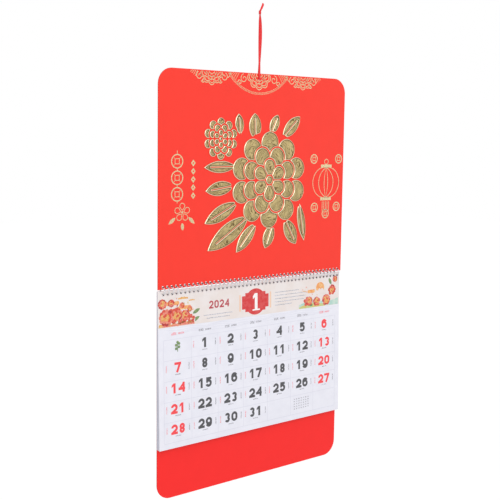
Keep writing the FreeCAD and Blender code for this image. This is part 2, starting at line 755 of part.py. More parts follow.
def build_header_blossoms(name):
    """Red blossoms at both ends of the header."""
    faces = []
    for centre, radius in header_flowers():
        faces += blossom(centre, radius)
    return lay_on_page(name, faces, 1)


def build_header_sun(name):
    """An orange sun and pale golden clouds in the header."""
    half, deep = page_width / 2, size["header_height"]
    faces = [disc((0.76 * half, -0.42 * deep), 0.17 * deep)]
    for across, up, wide in ((-0.88, 0.36, 0.24), (-0.74, 0.5, 0.16), (0.65, 0.5, 0.1)):
        start = (across * half - wide * deep, -up * deep)
        end = (across * half + wide * deep, -up * deep)
        faces.append(drop(start, 0.05 * deep, end, 0.052 * deep))
    return lay_on_page(name, faces, 1)


def build_header_leaves(name):
    """Green leaves beside the blossoms, and a round-leaved twig in the table's first cell."""
    half, deep = page_width / 2, size["header_height"]
    faces = []
    for across, up, run, rise in ((-0.67, 0.92, 0.26, 0.12), (-0.66, 0.7, 0.24, 0.12),
                                  (0.67, 0.93, -0.2, 0.06), (0.9, 0.36, -0.1, 0.2)):
        base = (across * half, -up * deep)
        blade = leaf(base, (base[0] + run * deep, base[1] + rise * deep), 0.1 * deep)
        faces.append(blade.cut([disc(place, 1.04 * reach) for place, reach in header_flowers()]))
    across, foot, tall = column_middle(0), week_middle(0), size["digit_height"]
    twig = [bar((across, foot - 0.5 * tall), (across, foot + 0.3 * tall), 0.08 * tall)]
    for side, level in ((-1, -0.2), (1, -0.05), (-1, 0.14), (1, 0.28), (0, 0.42)):
        twig.append(disc((across + side * 0.17 * tall, foot + level * tall), 0.14 * tall))
    faces.append(joined(twig))
    return lay_on_page(name, faces, 1)


def build_header_lines(name):
    """Grey bars for the header's small lines, and the small months in the last week's row."""
    half, deep = page_width / 2, size["header_height"]
    faces = []
    for number, reach in enumerate((0.28, 0.36, 0.36, 0.34, 0.2)):
        level = -(0.4 + 0.095 * number) * deep
        faces.append(rectangle(0.22 * half, (0.22 + reach) * half, level - 0.6, level + 0.6))
    for number, reach in enumerate((0.3, 0.24)):
        level = -(0.8 + 0.09 * number) * deep
        faces.append(rectangle((-0.4 - reach / 2) * half, (-0.4 + reach / 2) * half, level - 0.6,
                               level + 0.6))
    left = column_middle(5) - 0.36 * column_pitch
    top = week_middle(4) + 0.42 * size["digit_height"]
    for line in range(5):
        for place in range(7):
            across, up = left + 5.5 * place, top - 4.4 * line
            faces.append(rectangle(across, across + 2.6, up - 1.8, up))
    return lay_on_page(name, faces, 1)


# The ribbon

def build_ribbon(name):
    """One ribbon from the knot, down the face, through the hole and up behind to the knot."""
    thick = size["ribbon_thick"]
    away = 0.8 * size["board_thick"] + 2 * thick / 3
    drop_down = size["ribbon_drop"]
    low = -drop_down - size["ribbon_hole_drop"] + size["ribbon_hole_radius"] - 0.6 * thick
    start, finish = 0.32 * size["knot_radius"], 0.4 * size["knot_radius"]
    route = [
        Vector(-start, -start, 0),
        Vector(-1.9, -1.4, -0.28 * drop_down),
        Vector(-1.2, -1.5, -0.72 * drop_down),
        Vector(0, -away, low),
        Vector(0.2, away, low),
        Vector(1.9, 1.5, -0.75 * drop_down),
        Vector(3.6, 1.4, -0.26 * drop_down),
        Vector(finish, start, 0),
    ]
    edges = []
    here = route[0]
    for before, corner, after in zip(route, route[1:], route[2:]):
        inward, outward = corner - before, after - corner
        turn = inward.getAngle(outward)
        reach = 0.45 * min(inward.Length, outward.Length)
        radius = reach / math.tan(turn / 2)
        print(f"{name} bend radius {radius:.1f}")
        to_before = (before - corner).normalize()
        to_after = (after - corner).normalize()
        entry, leave = corner + to_before * reach, corner + to_after * reach
        halfway = (to_before + to_after).normalize()
        middle = corner + halfway * (math.hypot(radius, reach) - radius)
        edges.append(Part.LineSegment(here, entry).toShape())
        edges.append(Part.Arc(entry, middle, leave).toShape())
        here = leave
    edges.append(Part.LineSegment(here, route[-1]).toShape())
    path = Part.Wire(edges)
    ring = Part.Wire(Part.Circle(route[0], route[1] - route[0], thick / 2).toShape())
    ribbon = doc.addObject("Part::Feature", name)
    ribbon.Shape = path.makePipeShell([ring], True, True)
    print(f"{name} volume share {ribbon.Shape.Volume / (path.Length * math.pi * thick ** 2 / 4):.4f}")
    print(f"{name} length {path.Length:.1f}")
    return ribbon


def build_knot(name):
    """The knot, a short round barrel, with the ribbon's two flat tails above it."""
    radius, height = size["knot_radius"], size["knot_height"]
    barrel = Part.makeCylinder(radius, height)
    barrel = barrel.makeFillet(0.28 * radius, [edge for edge in barrel.Edges
                                              if edge.Curve.TypeId == "Part::GeomCircle"])
    solids = [barrel]
    for lean, side in ((1, 0.12), (1.7, -0.3)):
        tail = Part.makeBox(0.9 * radius, 0.16 * radius, size["tail_length"] + 0.5 * height,
                            Vector(-0.45 * radius, side * radius, 0))
        tail.Placement = Placement(Vector(0, 0, 0.5 * height),
                                   Rotation(Vector(0, 1, 0), lean * size["tail_lean"]))
        solids.append(tail)
    knot = doc.addObject("Part::Feature", name)
    knot.Shape = solids[0].multiFuse(solids[1:])
    return knot


nodes = [
    build_upper_board(),
    build_lower_board(),
    build_page_pad(),
    build_binding_wire(),
    build_ribbon("ribbon"),
    build_knot("ribbon_knot"),
    build_relief("relief_emblem"),
    build_lace("top_lace_foil"),
    build_left_motif("left_motif_foil"),
    build_right_motif("right_motif_foil"),
    build_header_band("header_band"),
    build_header_blossoms("header_blossoms"),
    build_header_sun("header_sun"),
    build_header_leaves("header_leaves"),
    build_header_lines("header_lines"),
    build_month_plate("month_plate"),
    build_plate_sides("month_plate_sides"),
    build_month_number("month_number"),
    build_year("year_number"),
    build_rules("table_rules"),
    build_dates("weekday_dates", False),
    build_dates("weekend_dates", True),
    build_marks("grey_marks", False),
    build_marks("red_marks", True),
]
doc.recompute()
for item in doc.Objects:
    if "Invalid" in item.State or "Error" in item.State:
        raise SystemExit(f"{item.Label} failed: {item.State}")
for node in nodes:
    if node.Shape.isNull() or not node.Shape.isValid() or not node.Shape.Solids:
        raise SystemExit(f"{node.Label} has no valid solid")
for node in nodes:
    node.Shape.exportStep(f"parts/{node.Label}.step")
    print(f"{node.Label}: {len(node.Shape.Solids)} solids, {node.Shape.Volume:.1f} mm3")
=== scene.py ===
# A hanging wall calendar: a red card headboard with gold relief and foil, a block of month
# pages and a red card backboard on one row of twin loop wire, and a knotted satin ribbon.
# Metres, in the model's own frame: +X right, +Y to the wall, +Z up, 0 under the knot.

import math
import random

import bmesh
import bpy
import numpy as np
from mathutils import Matrix, Vector
from mathutils.geometry import delaunay_2d_cdt


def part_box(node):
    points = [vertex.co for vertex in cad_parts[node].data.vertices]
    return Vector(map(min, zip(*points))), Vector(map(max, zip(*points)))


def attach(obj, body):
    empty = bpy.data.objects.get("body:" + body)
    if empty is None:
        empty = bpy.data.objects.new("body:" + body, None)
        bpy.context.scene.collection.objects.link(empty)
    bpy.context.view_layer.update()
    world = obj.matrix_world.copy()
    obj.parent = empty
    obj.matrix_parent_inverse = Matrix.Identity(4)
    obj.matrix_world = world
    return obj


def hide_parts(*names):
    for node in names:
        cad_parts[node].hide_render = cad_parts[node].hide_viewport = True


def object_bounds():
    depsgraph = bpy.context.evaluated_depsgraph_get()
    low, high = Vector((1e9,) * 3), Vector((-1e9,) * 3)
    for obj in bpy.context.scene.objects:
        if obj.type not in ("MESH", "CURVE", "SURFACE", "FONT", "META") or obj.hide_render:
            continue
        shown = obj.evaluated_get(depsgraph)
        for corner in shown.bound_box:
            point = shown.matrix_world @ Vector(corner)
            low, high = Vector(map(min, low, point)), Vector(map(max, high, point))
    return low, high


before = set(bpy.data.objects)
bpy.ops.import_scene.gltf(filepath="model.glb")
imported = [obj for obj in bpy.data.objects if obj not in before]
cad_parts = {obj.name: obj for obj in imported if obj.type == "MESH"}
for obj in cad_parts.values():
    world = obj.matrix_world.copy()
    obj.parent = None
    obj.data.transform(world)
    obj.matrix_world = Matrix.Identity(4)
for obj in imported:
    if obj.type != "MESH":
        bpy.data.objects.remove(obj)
model_box = [list(corner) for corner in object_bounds()]
scene = bpy.context.scene
mm = 0.001


# The view: a level camera a little above the page block, to the left of the calendar,
# solved from the straight edges of both boards. Its focal length is in picture widths.

focal_widths = 1.85006
yaw, pitch, roll = 0.6779573, 0.1217587, -0.0138461
camera_place = Vector((-0.98934, -1.21095, -0.20006))

camera_lens = bpy.data.cameras.new("view")
camera_lens.sensor_width = 36
camera_lens.lens = focal_widths * camera_lens.sensor_width
camera_lens.clip_start, camera_lens.clip_end = 0.05, 60
camera = bpy.data.objects.new("view", camera_lens)
scene.collection.objects.link(camera)
ahead = Vector((math.sin(yaw) * math.cos(pitch), math.cos(yaw) * math.cos(pitch),
                -math.sin(pitch)))
level_right = Vector((math.cos(yaw), -math.sin(yaw), 0))
level_down = ahead.cross(level_right)
picture_right = math.cos(roll) * level_right + math.sin(roll) * level_down
picture_down = -math.sin(roll) * level_right + math.cos(roll) * level_down
turn = Matrix((picture_right, -picture_down, -ahead)).transposed()
camera.matrix_world = Matrix.Translation(camera_place) @ turn.to_4x4()
scene.camera = camera


# The hanging ribbon: one length of red satin, 3.2 mm wide, that runs from the knot down the
# face, through the headboard's round hole and up behind it to the knot. It is crumpled where
# it goes through the hole, and cupped where the knot gathers it.

ribbon_route = [(-0.001152, -0.001152, 0), (-0.0019, -0.0014, -0.026712),
                (-0.0012, -0.0015, -0.068688), (-0.0001, -0.0018, -0.1018),
                (0, -0.0018, -0.1040), (0.0002, 0.0018, -0.1040),
                (0.0003, 0.0018, -0.1018), (0.0022, 0.0016, -0.07155),
                (0.0056, 0.0016, -0.024804), (0.00144, 0.001152, 0)]
ribbon_wide, ribbon_thin = 3.2 * mm, 0.26 * mm
hole_part, gathered, seam = 0.5, 0.03, 0.5 * mm


def linear(red, green, blue):
    """A colour of the eye's scale, 0 to 255, as the shader's own."""
    parts = [value / 255 for value in (red, green, blue)]
    return tuple(v / 12.92 if v <= 0.04045 else ((v + 0.055) / 1.055) ** 2.4
                 for v in parts) + (1,)


def finish_named(name):
    """A new material, its node tree and its principled shader."""
    material = bpy.data.materials.new(name)
    material.use_nodes = True
    tree = material.node_tree
    return material, tree, tree.nodes["Principled BSDF"]


def group_named(name, inputs, outputs, sort="Shader", kind="Float"):
    """An empty node group: an input is named with its starting value, or with its kind."""
    group = bpy.data.node_groups.new(name, sort + "NodeTree")
    kinds = {int: "Int", float: "Float", tuple: "Vector"}
    for label, value in inputs.items():
        plain = isinstance(value, str)
        socket = group.interface.new_socket(
            label, in_out="INPUT", socket_type="NodeSocket" + (value if plain else
                                                               kinds[type(value)]))
        if not plain:
            socket.default_value = value
    for label in outputs:
        group.interface.new_socket(label, in_out="OUTPUT", socket_type="NodeSocket" + kind)
    return (group, group.nodes.new("NodeGroupInput").outputs,
            group.nodes.new("NodeGroupOutput"))


def fed(tree, node, inputs):
    """The node's inputs take these values, or the outcomes of other nodes."""
    for label, value in inputs.items():
        if isinstance(value, bpy.types.NodeSocket):
            tree.links.new(value, node.inputs[label])
        else:
            node.inputs[label].default_value = value


def added(tree, kind, inputs=None, **settings):
    """A new node with these settings and inputs."""
    node = tree.nodes.new(kind)
    for label, value in settings.items():
        setattr(node, label, value)
    fed(tree, node, inputs or {})
    return node


def effect(tree, group, inputs):
    """The outcomes of a node group that is placed in this tree."""
    return added(tree, "ShaderNodeGroup", inputs, node_tree=group).outputs


def calc(tree, kind, first, second=0.0):
    """The outcome of a math node of this kind on two sockets or numbers."""
    return added(tree, "ShaderNodeMath", {0: first, 1: second}, operation=kind).outputs[0]


def scaled(tree, value, factor, plus=0.0):
    """The value times a factor, and a number more."""
    return added(tree, "ShaderNodeMath", {0: value, 1: factor, 2: plus},
                 operation="MULTIPLY_ADD").outputs[0]


def blend(tree, share, first, second):
    """The outcome of a colour mix; each side is a socket or a colour."""
    return added(tree, "ShaderNodeMix", {0: share, 6: first, 7: second},
                 data_type="RGBA").outputs[2]


def stepped(tree, value, low, high, top=1.0):
    """A value brought to 0 at low and to top at high."""
    return added(tree, "ShaderNodeMapRange", {"Value": value, "From Min": low, "From Max": high,
                                              "To Max": top}).outputs["Result"]


def noise(tree, place, scale, detail=2.0):
    """Soft noise at this place."""
    return added(tree, "ShaderNodeTexNoise", {"Vector": place, "Scale": scale,
                                              "Detail": detail}).outputs["Fac"]


def bump(tree, height, depth):
    """A normal bumped by this depth in metres."""
    return added(tree, "ShaderNodeBump", {"Strength": 1.0, "Distance": depth,
                                          "Height": height}).outputs["Normal"]


def mesh_of(shape, name):
    """The mesh of a finished shape, which goes."""
    mesh = bpy.data.meshes.new(name)
    shape.to_mesh(mesh)
    shape.free()
    return mesh


def joined(shape, mesh):
    """The shape takes in this mesh, which goes."""
    shape.from_mesh(mesh)
    bpy.data.meshes.remove(mesh)


def new_piece(name, mesh, material, body, *nodes, smooth=True):
    """A finished piece of the scene, riding on a body in place of the model's nodes."""
    piece = bpy.data.objects.new(name, mesh)
    scene.collection.objects.link(piece)
    if material and not mesh.materials:
        mesh.materials.append(material)
    for face in mesh.polygons:
        face.use_smooth = smooth
    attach(piece, body)
    if nodes:
        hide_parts(*nodes)
    return piece


def route_points(name, corners, steps):
    """Points read from the smooth spline that these corners steer."""
    curve = bpy.data.curves.new(name, "CURVE")
    curve.dimensions = "3D"
    spline = curve.splines.new("NURBS")
    spline.points.add(len(corners) - 1)
    for point, corner in zip(spline.points, corners):
        point.co = (*corner, 1)
    spline.order_u = 3
    spline.use_endpoint_u = True
    curve.resolution_u = steps
    holder = bpy.data.objects.new(name, curve)
    scene.collection.objects.link(holder)
    line = bpy.data.meshes.new_from_object(holder)
    points = [vertex.co.copy() for vertex in line.vertices]
    bpy.data.objects.remove(holder)
    bpy.data.meshes.remove(line)
    return points


def band_mesh(name, points, width_at, twist_at, cup_at, thin, across=7, closed=False):
    """A flat ribbon along the points, with its own map: across it, and along it in metres."""
    shape = bmesh.new()
    mapping = shape.loops.layers.uv.new("weave")
    count = len(points)
    rows, walked = [], [0.0]
    for here, after in zip(points, points[1:]):
        walked.append(walked[-1] + (after - here).length)
    for number, point in enumerate(points):
        if closed:
            before, after = points[number - 1], points[(number + 1) % count]
        else:
            before, after = points[max(number - 1, 0)], points[min(number + 1, count - 1)]
        along = (after - before).normalized()
        part = walked[number] / walked[-1]
        side = twist_at(part, along, point)
        side = (side - along * side.dot(along)).normalized()
        face = along.cross(side)
        half, cup = width_at(part) / 2, cup_at(part)
        depth = thin(part) if callable(thin) else thin
        row = []
        for sign in (1, -1):
            for step in range(across):
                place = (2 * step / (across - 1) - 1) * sign
                rise = -cup * place * place + sign * depth / 2
                row.append(shape.verts.new(point + side * half * place + face * rise))
        rows.append(row)
    ring = 2 * across
    for number in range(count if closed else count - 1):
        here, after = rows[number], rows[(number + 1) % count]
        for step in range(ring):
            near = (step + 1) % ring
            made = shape.faces.new((here[step], here[near], after[near], after[step]))
            high = walked[number + 1] if number + 1 < count else walked[-1] + seam
            spots = (step, near, near, step)
            levels = (walked[number], walked[number], high, high)
            for loop, spot, level in zip(made.loops, spots, levels):
                flat = spot % across / (across - 1)
                loop[mapping].uv = (flat if spot < across else 1 - flat, level)
    if not closed:
        shape.faces.new(list(reversed(rows[0])))
        shape.faces.new(rows[-1])
    bmesh.ops.recalc_face_normals(shape, faces=shape.faces)
    return mesh_of(shape, name)


def satin_threads():
    """Satin: fine lengthwise threads with slow changes of tone along and across them."""
    tree, entry, leave = group_named("satin_threads", {"Threads": 26.0}, ("Thread", "Tone"))
    weave_map = added(tree, "ShaderNodeUVMap", uv_map="weave")
    apart = added(tree, "ShaderNodeSeparateXYZ", {0: weave_map.outputs["UV"]}).outputs
    across = calc(tree, "MULTIPLY", apart["X"], entry["Threads"])
    shift = scaled(tree, calc(tree, "FLOOR", across), 0.37)
    weave = calc(tree, "SINE", calc(tree, "ADD", scaled(tree, apart["Y"], 6000.0), shift))
    thread = calc(tree, "PINGPONG", across, 0.5)
    strain = added(tree, "ShaderNodeCombineXYZ", {"X": across, "Y": scaled(tree, apart["Y"], 90.0)})
    fed(tree, leave, {"Thread": calc(tree, "ADD", thread, scaled(tree, weave, 0.06)),
                      "Tone": noise(tree, strain.outputs[0], 0.7, 3)})
    return tree


satin, tree, shader = finish_named("red_satin")
threads = effect(tree, satin_threads(), {"Threads": 26.0})
tone = stepped(tree, threads["Tone"], 0.3, 0.7)
fed(tree, shader, {"Base Color": blend(tree, tone, linear(226, 26, 32), linear(246, 44, 46)),
                   "Roughness": 0.38, "Specular IOR Level": 0.4, "Anisotropic": 0.5,
                   "Normal": bump(tree, threads["Thread"], 0.00006)})


def nearness(part, place, reach):
    """1 at this place along the ribbon, and soon 0 further than this reach from it."""
    return math.exp(-((part - place) / reach) ** 2)


def ribbon_width(part):
    """Narrower at the hole, and most of all where the knot gathers it."""
    near_knot = nearness(min(part, 1 - part), 0, gathered)
    return ribbon_wide * (1 - 0.12 * nearness(part, hole_part, gathered) - 0.34 * near_knot)


def ribbon_side(part, along, point):
    """The ribbon turns a little to the left on its way, but lies flat at the hole."""
    away_from_hole = 1 - nearness(part, hole_part, 2 * gathered)
    lean = away_from_hole * 0.3 * math.sin(9.2 * part + 0.6)
    turned = 0.68 * away_from_hole
    return Matrix.Rotation(lean, 3, along) @ Vector((math.cos(turned), -math.sin(turned), 0))


def ribbon_cup(part):
    """How far its middle stands out from its sides: most at the knot."""
    return (0.1 + 0.4 * nearness(min(part, 1 - part), 0, gathered)) * mm


def ribbon_depth(part):
    """The ribbon is crumpled into the round hole and fills it."""
    return ribbon_thin + 3.1 * mm * nearness(part, hole_part, 0.0125)


ribbon_line = route_points("ribbon_line", ribbon_route, 20)
ribbon_mesh = band_mesh("hanging_ribbon", ribbon_line, ribbon_width, ribbon_side, ribbon_cup,
                        ribbon_depth)
ribbon = new_piece("hanging_ribbon", ribbon_mesh, satin, "headboard", "ribbon")


# The knot: both ends of the ribbon tied in one overhand knot, pulled tight, with two short
# tails above it that lean to the right and are cut on a slant.

knot_middle = Vector((0, 0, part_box("ribbon_knot")[0].z + 4.0 * mm))
turn_band, tail_count = 0.35 * mm, 14


def knot_turn(wide, deep, tilt_x, tilt_y, rise, steps=36):
    """The middle line of one turn of the ribbon round the knot."""
    lean = Matrix.Rotation(tilt_y, 3, "Y") @ Matrix.Rotation(tilt_x, 3, "X")
    ways = [2 * math.pi * step / steps for step in range(steps)]
    return [knot_middle + Vector((0, 0, rise))
            + lean @ Vector((wide * math.cos(way), deep * math.sin(way), 0)) for way in ways]


def knot_side(part, along, point):
    """A turn of the knot lies flat round the knot's upright axis."""
    outwards = Vector((point.x, point.y, 0)).normalized()
    return along.cross(outwards)


def tail_line(lean, reach, start):
    """A tail's middle line, bowed a little to the side it leans to."""
    return [start + Vector((math.sin(lean) * reach * part + 0.8 * mm * part * part,
                            -1.2 * mm * math.sin(2.2 * part), math.cos(lean) * reach * part))
            for part in np.linspace(0, 1, tail_count)]


knot_shape = bmesh.new()
for wide, deep, tilt_x, tilt_y, rise, band in (
        (1.9, 1.9, 0.1, 0.42, -0.3, 3.0), (2.1, 1.8, -0.3, -0.5, 0.3, 2.6),
        (1.4, 1.4, 0.0, 0.05, -2.2, 2.2), (1.4, 1.4, 0.15, -0.1, 2.1, 2.2)):
    turn_line = knot_turn(wide * mm, deep * mm, tilt_x, tilt_y, rise * mm)
    joined(knot_shape, band_mesh("turn", turn_line, lambda part, band=band: band * mm, knot_side,
                                 lambda part: turn_band, turn_band, closed=True))
for lean, reach, start_x, start_y in ((0.33, 14.0, 0.2, -0.5), (0.42, 12.0, 0.6, 0.7)):
    start = Vector((start_x * mm, start_y * mm, knot_middle.z + 2.0 * mm))
    tail = band_mesh("tail", tail_line(lean, reach * mm, start),
                     lambda part: (2.6 + 0.6 * min(1.0, 3 * part)) * mm,
                     lambda part, along, point: Vector((0.8, -0.6 + 0.5 * part, 0)),
                     lambda part: 0.25 * mm, ribbon_thin)
    highest = max(vertex.co.z for vertex in tail.vertices)
    for vertex in tail.vertices:
        near_end = max(0.0, 1 - (highest - vertex.co.z) / (2.5 * mm))
        vertex.co.z -= near_end * 0.45 * max(0.0, vertex.co.x - start.x - lean * reach * mm)
    joined(knot_shape, tail)
knot = new_piece("ribbon_tie", mesh_of(knot_shape, "ribbon_tie"), satin, "headboard",
                 "ribbon_knot")
tuple(ribbon_line[0])
[tuple(p) for p in ribbon_line]


# The headboard: 1 mm red card, coated in bright red on its face, die cut with rounded top
# corners, square holes for the wire and one round hole for the ribbon. Its cut edges and
# back are a deeper, matt red.

def paper_fibre():
    """Card and paper: a faint mottle and fine fibres. Edge is 1 on the cut edges, which face
    out of the sheet's plane, and Back is 1 on the side to the wall."""
    tree, entry, leave = group_named("paper_fibre", {"Mottle Scale": 45.0, "Fibre Scale": 2400.0},
                                     ("Mottle", "Fibre", "Edge", "Back"))
    place = added(tree, "ShaderNodeTexCoord").outputs
    facing = added(tree, "ShaderNodeSeparateXYZ", {0: place["Normal"]}).outputs["Y"]
    flat = calc(tree, "ABSOLUTE", facing)
    fed(tree, leave, {"Mottle": noise(tree, place["Object"], entry["Mottle Scale"], 4),
                      "Fibre": noise(tree, place["Object"], entry["Fibre Scale"], 3),
                      "Edge": calc(tree, "LESS_THAN", flat, 0.6),
                      "Back": calc(tree, "GREATER_THAN", facing, 0.6)})
    return tree


fibre_effect = paper_fibre()


def card_finish(name, face, edge, back):
    """Coated card: an even ink on the face, raw fibre at the cut edges and on the back."""
    material, tree, shader = finish_named(name)
    fibre = effect(tree, fibre_effect, {"Mottle Scale": 38.0, "Fibre Scale": 2600.0})
    darker = tuple(0.975 * value for value in face[:3]) + (1,)
    tone = blend(tree, stepped(tree, fibre["Mottle"], 0.3, 0.7), darker, face)
    tone = blend(tree, fibre["Back"], tone, back)
    raw = calc(tree, "MAXIMUM", fibre["Back"], fibre["Edge"])
    rough = calc(tree, "ADD", scaled(tree, raw, 0.3, 0.42),
                 stepped(tree, fibre["Fibre"], 0.3, 0.7, 0.1))
    depth = calc(tree, "MULTIPLY", fibre["Fibre"], scaled(tree, raw, 0.8, 0.2))
    fed(tree, shader, {"Base Color": blend(tree, fibre["Edge"], tone, edge), "Roughness": rough,
                       "Specular IOR Level": 0.22, "Normal": bump(tree, depth, 0.00008)})
    return material


def dressed(node, material):
    """A solid of the model keeps its shape and gets this finish."""
    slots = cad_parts[node].data.materials
    slots.clear()
    slots.append(material)


red_card = card_finish("red_card", linear(253, 60, 46), linear(196, 30, 40),
                       linear(206, 44, 44))
dressed("upper_board", red_card)


# The relief: embossed metallised film on thin card, in sixty-two separate petals, leaves
# and hearts glued to the headboard. Each has a rolled rim, a groove inside it, and a crowned
# field engraved with fine flowing lines along its length. The rim's pale colour is a painted
# highlight. The dark colour of the groove is painted shade. The engraved lines are real and shaped
# by the bump, but their dark colour is painted shade.

relief_low, relief_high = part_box("relief_emblem")
board_face = relief_high.y
relief_rise = board_face - relief_low.y

ring_step, grid_step, clear_rim = 1.6 * mm, 2.6 * mm, 2.9 * mm
merged_within = 1e-7


def area_of(ring):
    """Twice the area in a ring of points, above 0 where the ring turns left."""
    return sum(a[0] * b[1] - b[0] * a[1] for a, b in zip(ring, ring[1:] + ring[:1]))


def outline_loops(solid_mesh, level):
    """The closed outlines of the faces that lie at this level, shape by shape."""
    shape = bmesh.new()
    shape.from_mesh(solid_mesh)
    bmesh.ops.remove_doubles(shape, verts=shape.verts, dist=0.02 * mm)
    front = [face for face in shape.faces
             if all(abs(vertex.co.y - level) < 0.03 * mm for vertex in face.verts)]
    chosen = set(front)
    islands, seen = [], set()
    for face in front:
        if face in seen:
            continue
        island, wait = [], [face]
        seen.add(face)
        while wait:
            here = wait.pop()
            island.append(here)
            for edge in here.edges:
                for other in edge.link_faces:
                    if other in chosen and other not in seen:
                        seen.add(other)
                        wait.append(other)
        inside = set(island)
        after = {}
        for here in island:
            for loop in here.loops:
                if sum(other in inside for other in loop.edge.link_faces) == 1:
                    after[loop.vert.index] = loop.link_loop_next.vert.index
        places = {vertex.index: (vertex.co.x, vertex.co.z) for here in island
                  for vertex in here.verts}
        rings = []
        while after:
            start = next(iter(after))
            ring, here = [], start
            while here in after:
                ring.append(here)
                here = after.pop(here)
            rings.append([places[index] for index in ring])
        islands.append(rings)
    shape.free()
    return islands


def evened(ring, step):
    """The ring's corners with points between them, no further apart than step."""
    points = []
    for here, after in zip(ring, ring[1:] + ring[:1]):
        here, after = np.array(here), np.array(after)
        parts = max(1, int(np.linalg.norm(after - here) / step + 0.5))
        points += [here + (after - here) * number / parts for number in range(parts)]
    return points


def far_from(points, ring_sets):
    """Each point's distance from the nearest side of the rings."""
    starts = np.concatenate([np.array(ring) for ring in ring_sets])
    ends = np.concatenate([np.roll(np.array(ring), -1, axis=0) for ring in ring_sets])
    sides = ends - starts
    lengths = np.maximum((sides ** 2).sum(1), 1e-14)
    gaps = np.empty(len(points))
    for number, point in enumerate(points):
        part = np.clip(((point - starts) * sides).sum(1) / lengths, 0, 1)
        near = starts + sides * part[:, None]
        gaps[number] = np.sqrt(((point - near) ** 2).sum(1).min())
    return gaps


rim_levels = ((0.0, 0.5), (0.45, 0.84), (1.1, 0.96), (1.7, 0.70), (2.5, 0.66))


def crowned(gap, crown):
    """Height over the board at this distance from the outline: rim, groove, crowned field."""
    depths = [mm * gap_level for gap_level, height in rim_levels]
    heights = [relief_rise * height for gap_level, height in rim_levels]
    if gap <= depths[-1]:
        return float(np.interp(gap, depths, heights))
    over = min((gap - depths[-1]) / max(crown, 0.001), 1.0)
    return heights[-1] + 0.33 * relief_rise * math.sin(over * math.pi / 2)


relief_shape = bmesh.new()
engraving = relief_shape.loops.layers.uv.new("engraving")
rim_gap = relief_shape.verts.layers.float.new("rim_gap")
for rings in outline_loops(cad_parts["relief_emblem"].data, relief_low.y):
    rings = [evened(ring, ring_step) for ring in rings]
    spots = [point for ring in rings for point in ring]
    border, sides, inner = len(spots), [], []
    for ring in rings:
        first, count = len(sides), len(ring)
        sides += [(first + place, first + (place + 1) % count) for place in range(count)]
        for place in range(count):
            way = ring[(place + 1) % count] - ring[place - 1]
            normal = np.array((-way[1], way[0])) / max(np.linalg.norm(way), 1e-9)
            for gap_level, height in rim_levels[1:]:
                for sign in (1, -1):
                    inner.append((ring[place] + sign * normal * gap_level * mm,
                                  gap_level * mm))
    low, high = np.min(spots, axis=0), np.max(spots, axis=0)
    for across in np.arange(low[0], high[0], grid_step):
        for up in np.arange(low[1], high[1], grid_step):
            inner.append((np.array((across + 0.4 * mm, up + 0.3 * mm)), None))
    gaps = far_from([point for point, wanted in inner], rings)
    spots += [point for (point, wanted), gap in zip(inner, gaps)
              if (wanted is None and gap > clear_rim) or (wanted and gap > 0.93 * wanted)]
    made = delaunay_2d_cdt([Vector(point) for point in spots], sides, [], 2, merged_within)
    places, faces, origins = made[0], made[2], made[3]
    reach = far_from([np.array(point) for point in places], rings)
    crown = float(reach.max()) - mm * rim_levels[-1][0]
    cloud = np.array(spots[:border])
    middle = cloud.mean(axis=0)
    cross_way, length_way = np.linalg.eigh(np.cov((cloud - middle).T))[1].T
    tops = []
    for index, point in enumerate(places):
        on_border = any(origin < border for origin in origins[index])
        gap = 0.0 if on_border else float(reach[index])
        vertex = relief_shape.verts.new((point[0], board_face - crowned(gap, crown), point[1]))
        vertex[rim_gap] = gap / mm
        tops.append(vertex)
    done = []
    for face in faces:
        corners = [places[index] for index in face]
        centre = sum(corners, Vector((0, 0))) / len(corners)
        if far_from([np.array(centre)], rings)[0] < merged_within:
            continue
        order = face if area_of(corners) > 0 else face[::-1]
        done.append(relief_shape.faces.new([tops[index] for index in order]))
    feet = {}
    for edge in [edge for face in done for edge in face.edges if len(edge.link_faces) == 1]:
        start, end = edge.link_loops[0].vert, edge.link_loops[0].link_loop_next.vert
        for vertex in (start, end):
            if vertex not in feet:
                feet[vertex] = relief_shape.verts.new((vertex.co.x, board_face, vertex.co.z))
        done.append(relief_shape.faces.new((end, start, feet[start], feet[end])))
    offset = random.Random(len(places)).uniform(0, 0.4)
    for face in done:
        for loop in face.loops:
            flat = np.array((loop.vert.co.x, loop.vert.co.z)) - middle
            loop[engraving].uv = (float(flat @ length_way) + offset, float(flat @ cross_way))
relief_mesh = mesh_of(relief_shape, "gold_relief")


def metal_film():
    """Metallised film: fine flowing engraved lines on a map, broken by bare patches."""
    tree, entry, leave = group_named("metal_film", {"Lines": 620.0, "Place": (0.0, 0.0, 0.0)},
                                     ("Line", "Patch", "Speck"))
    place = entry["Place"]
    across = added(tree, "ShaderNodeSeparateXYZ", {0: place}).outputs["Y"]
    bent = calc(tree, "ADD", across, scaled(tree, noise(tree, place, 55), 0.03))
    turns = scaled(tree, entry["Lines"], 2 * math.pi)
    wave = calc(tree, "SINE", calc(tree, "MULTIPLY", bent, turns))
    stretch = added(tree, "ShaderNodeMapping", {"Scale": (0.45, 1.0, 1.0), "Vector": place})
    patch = noise(tree, stretch.outputs[0], 130, 3)
    fed(tree, leave, {"Line": stepped(tree, wave, 0.25, 0.95),
                      "Patch": stepped(tree, patch, 0.36, 0.52),
                      "Speck": noise(tree, place, 900, 4)})
    return tree


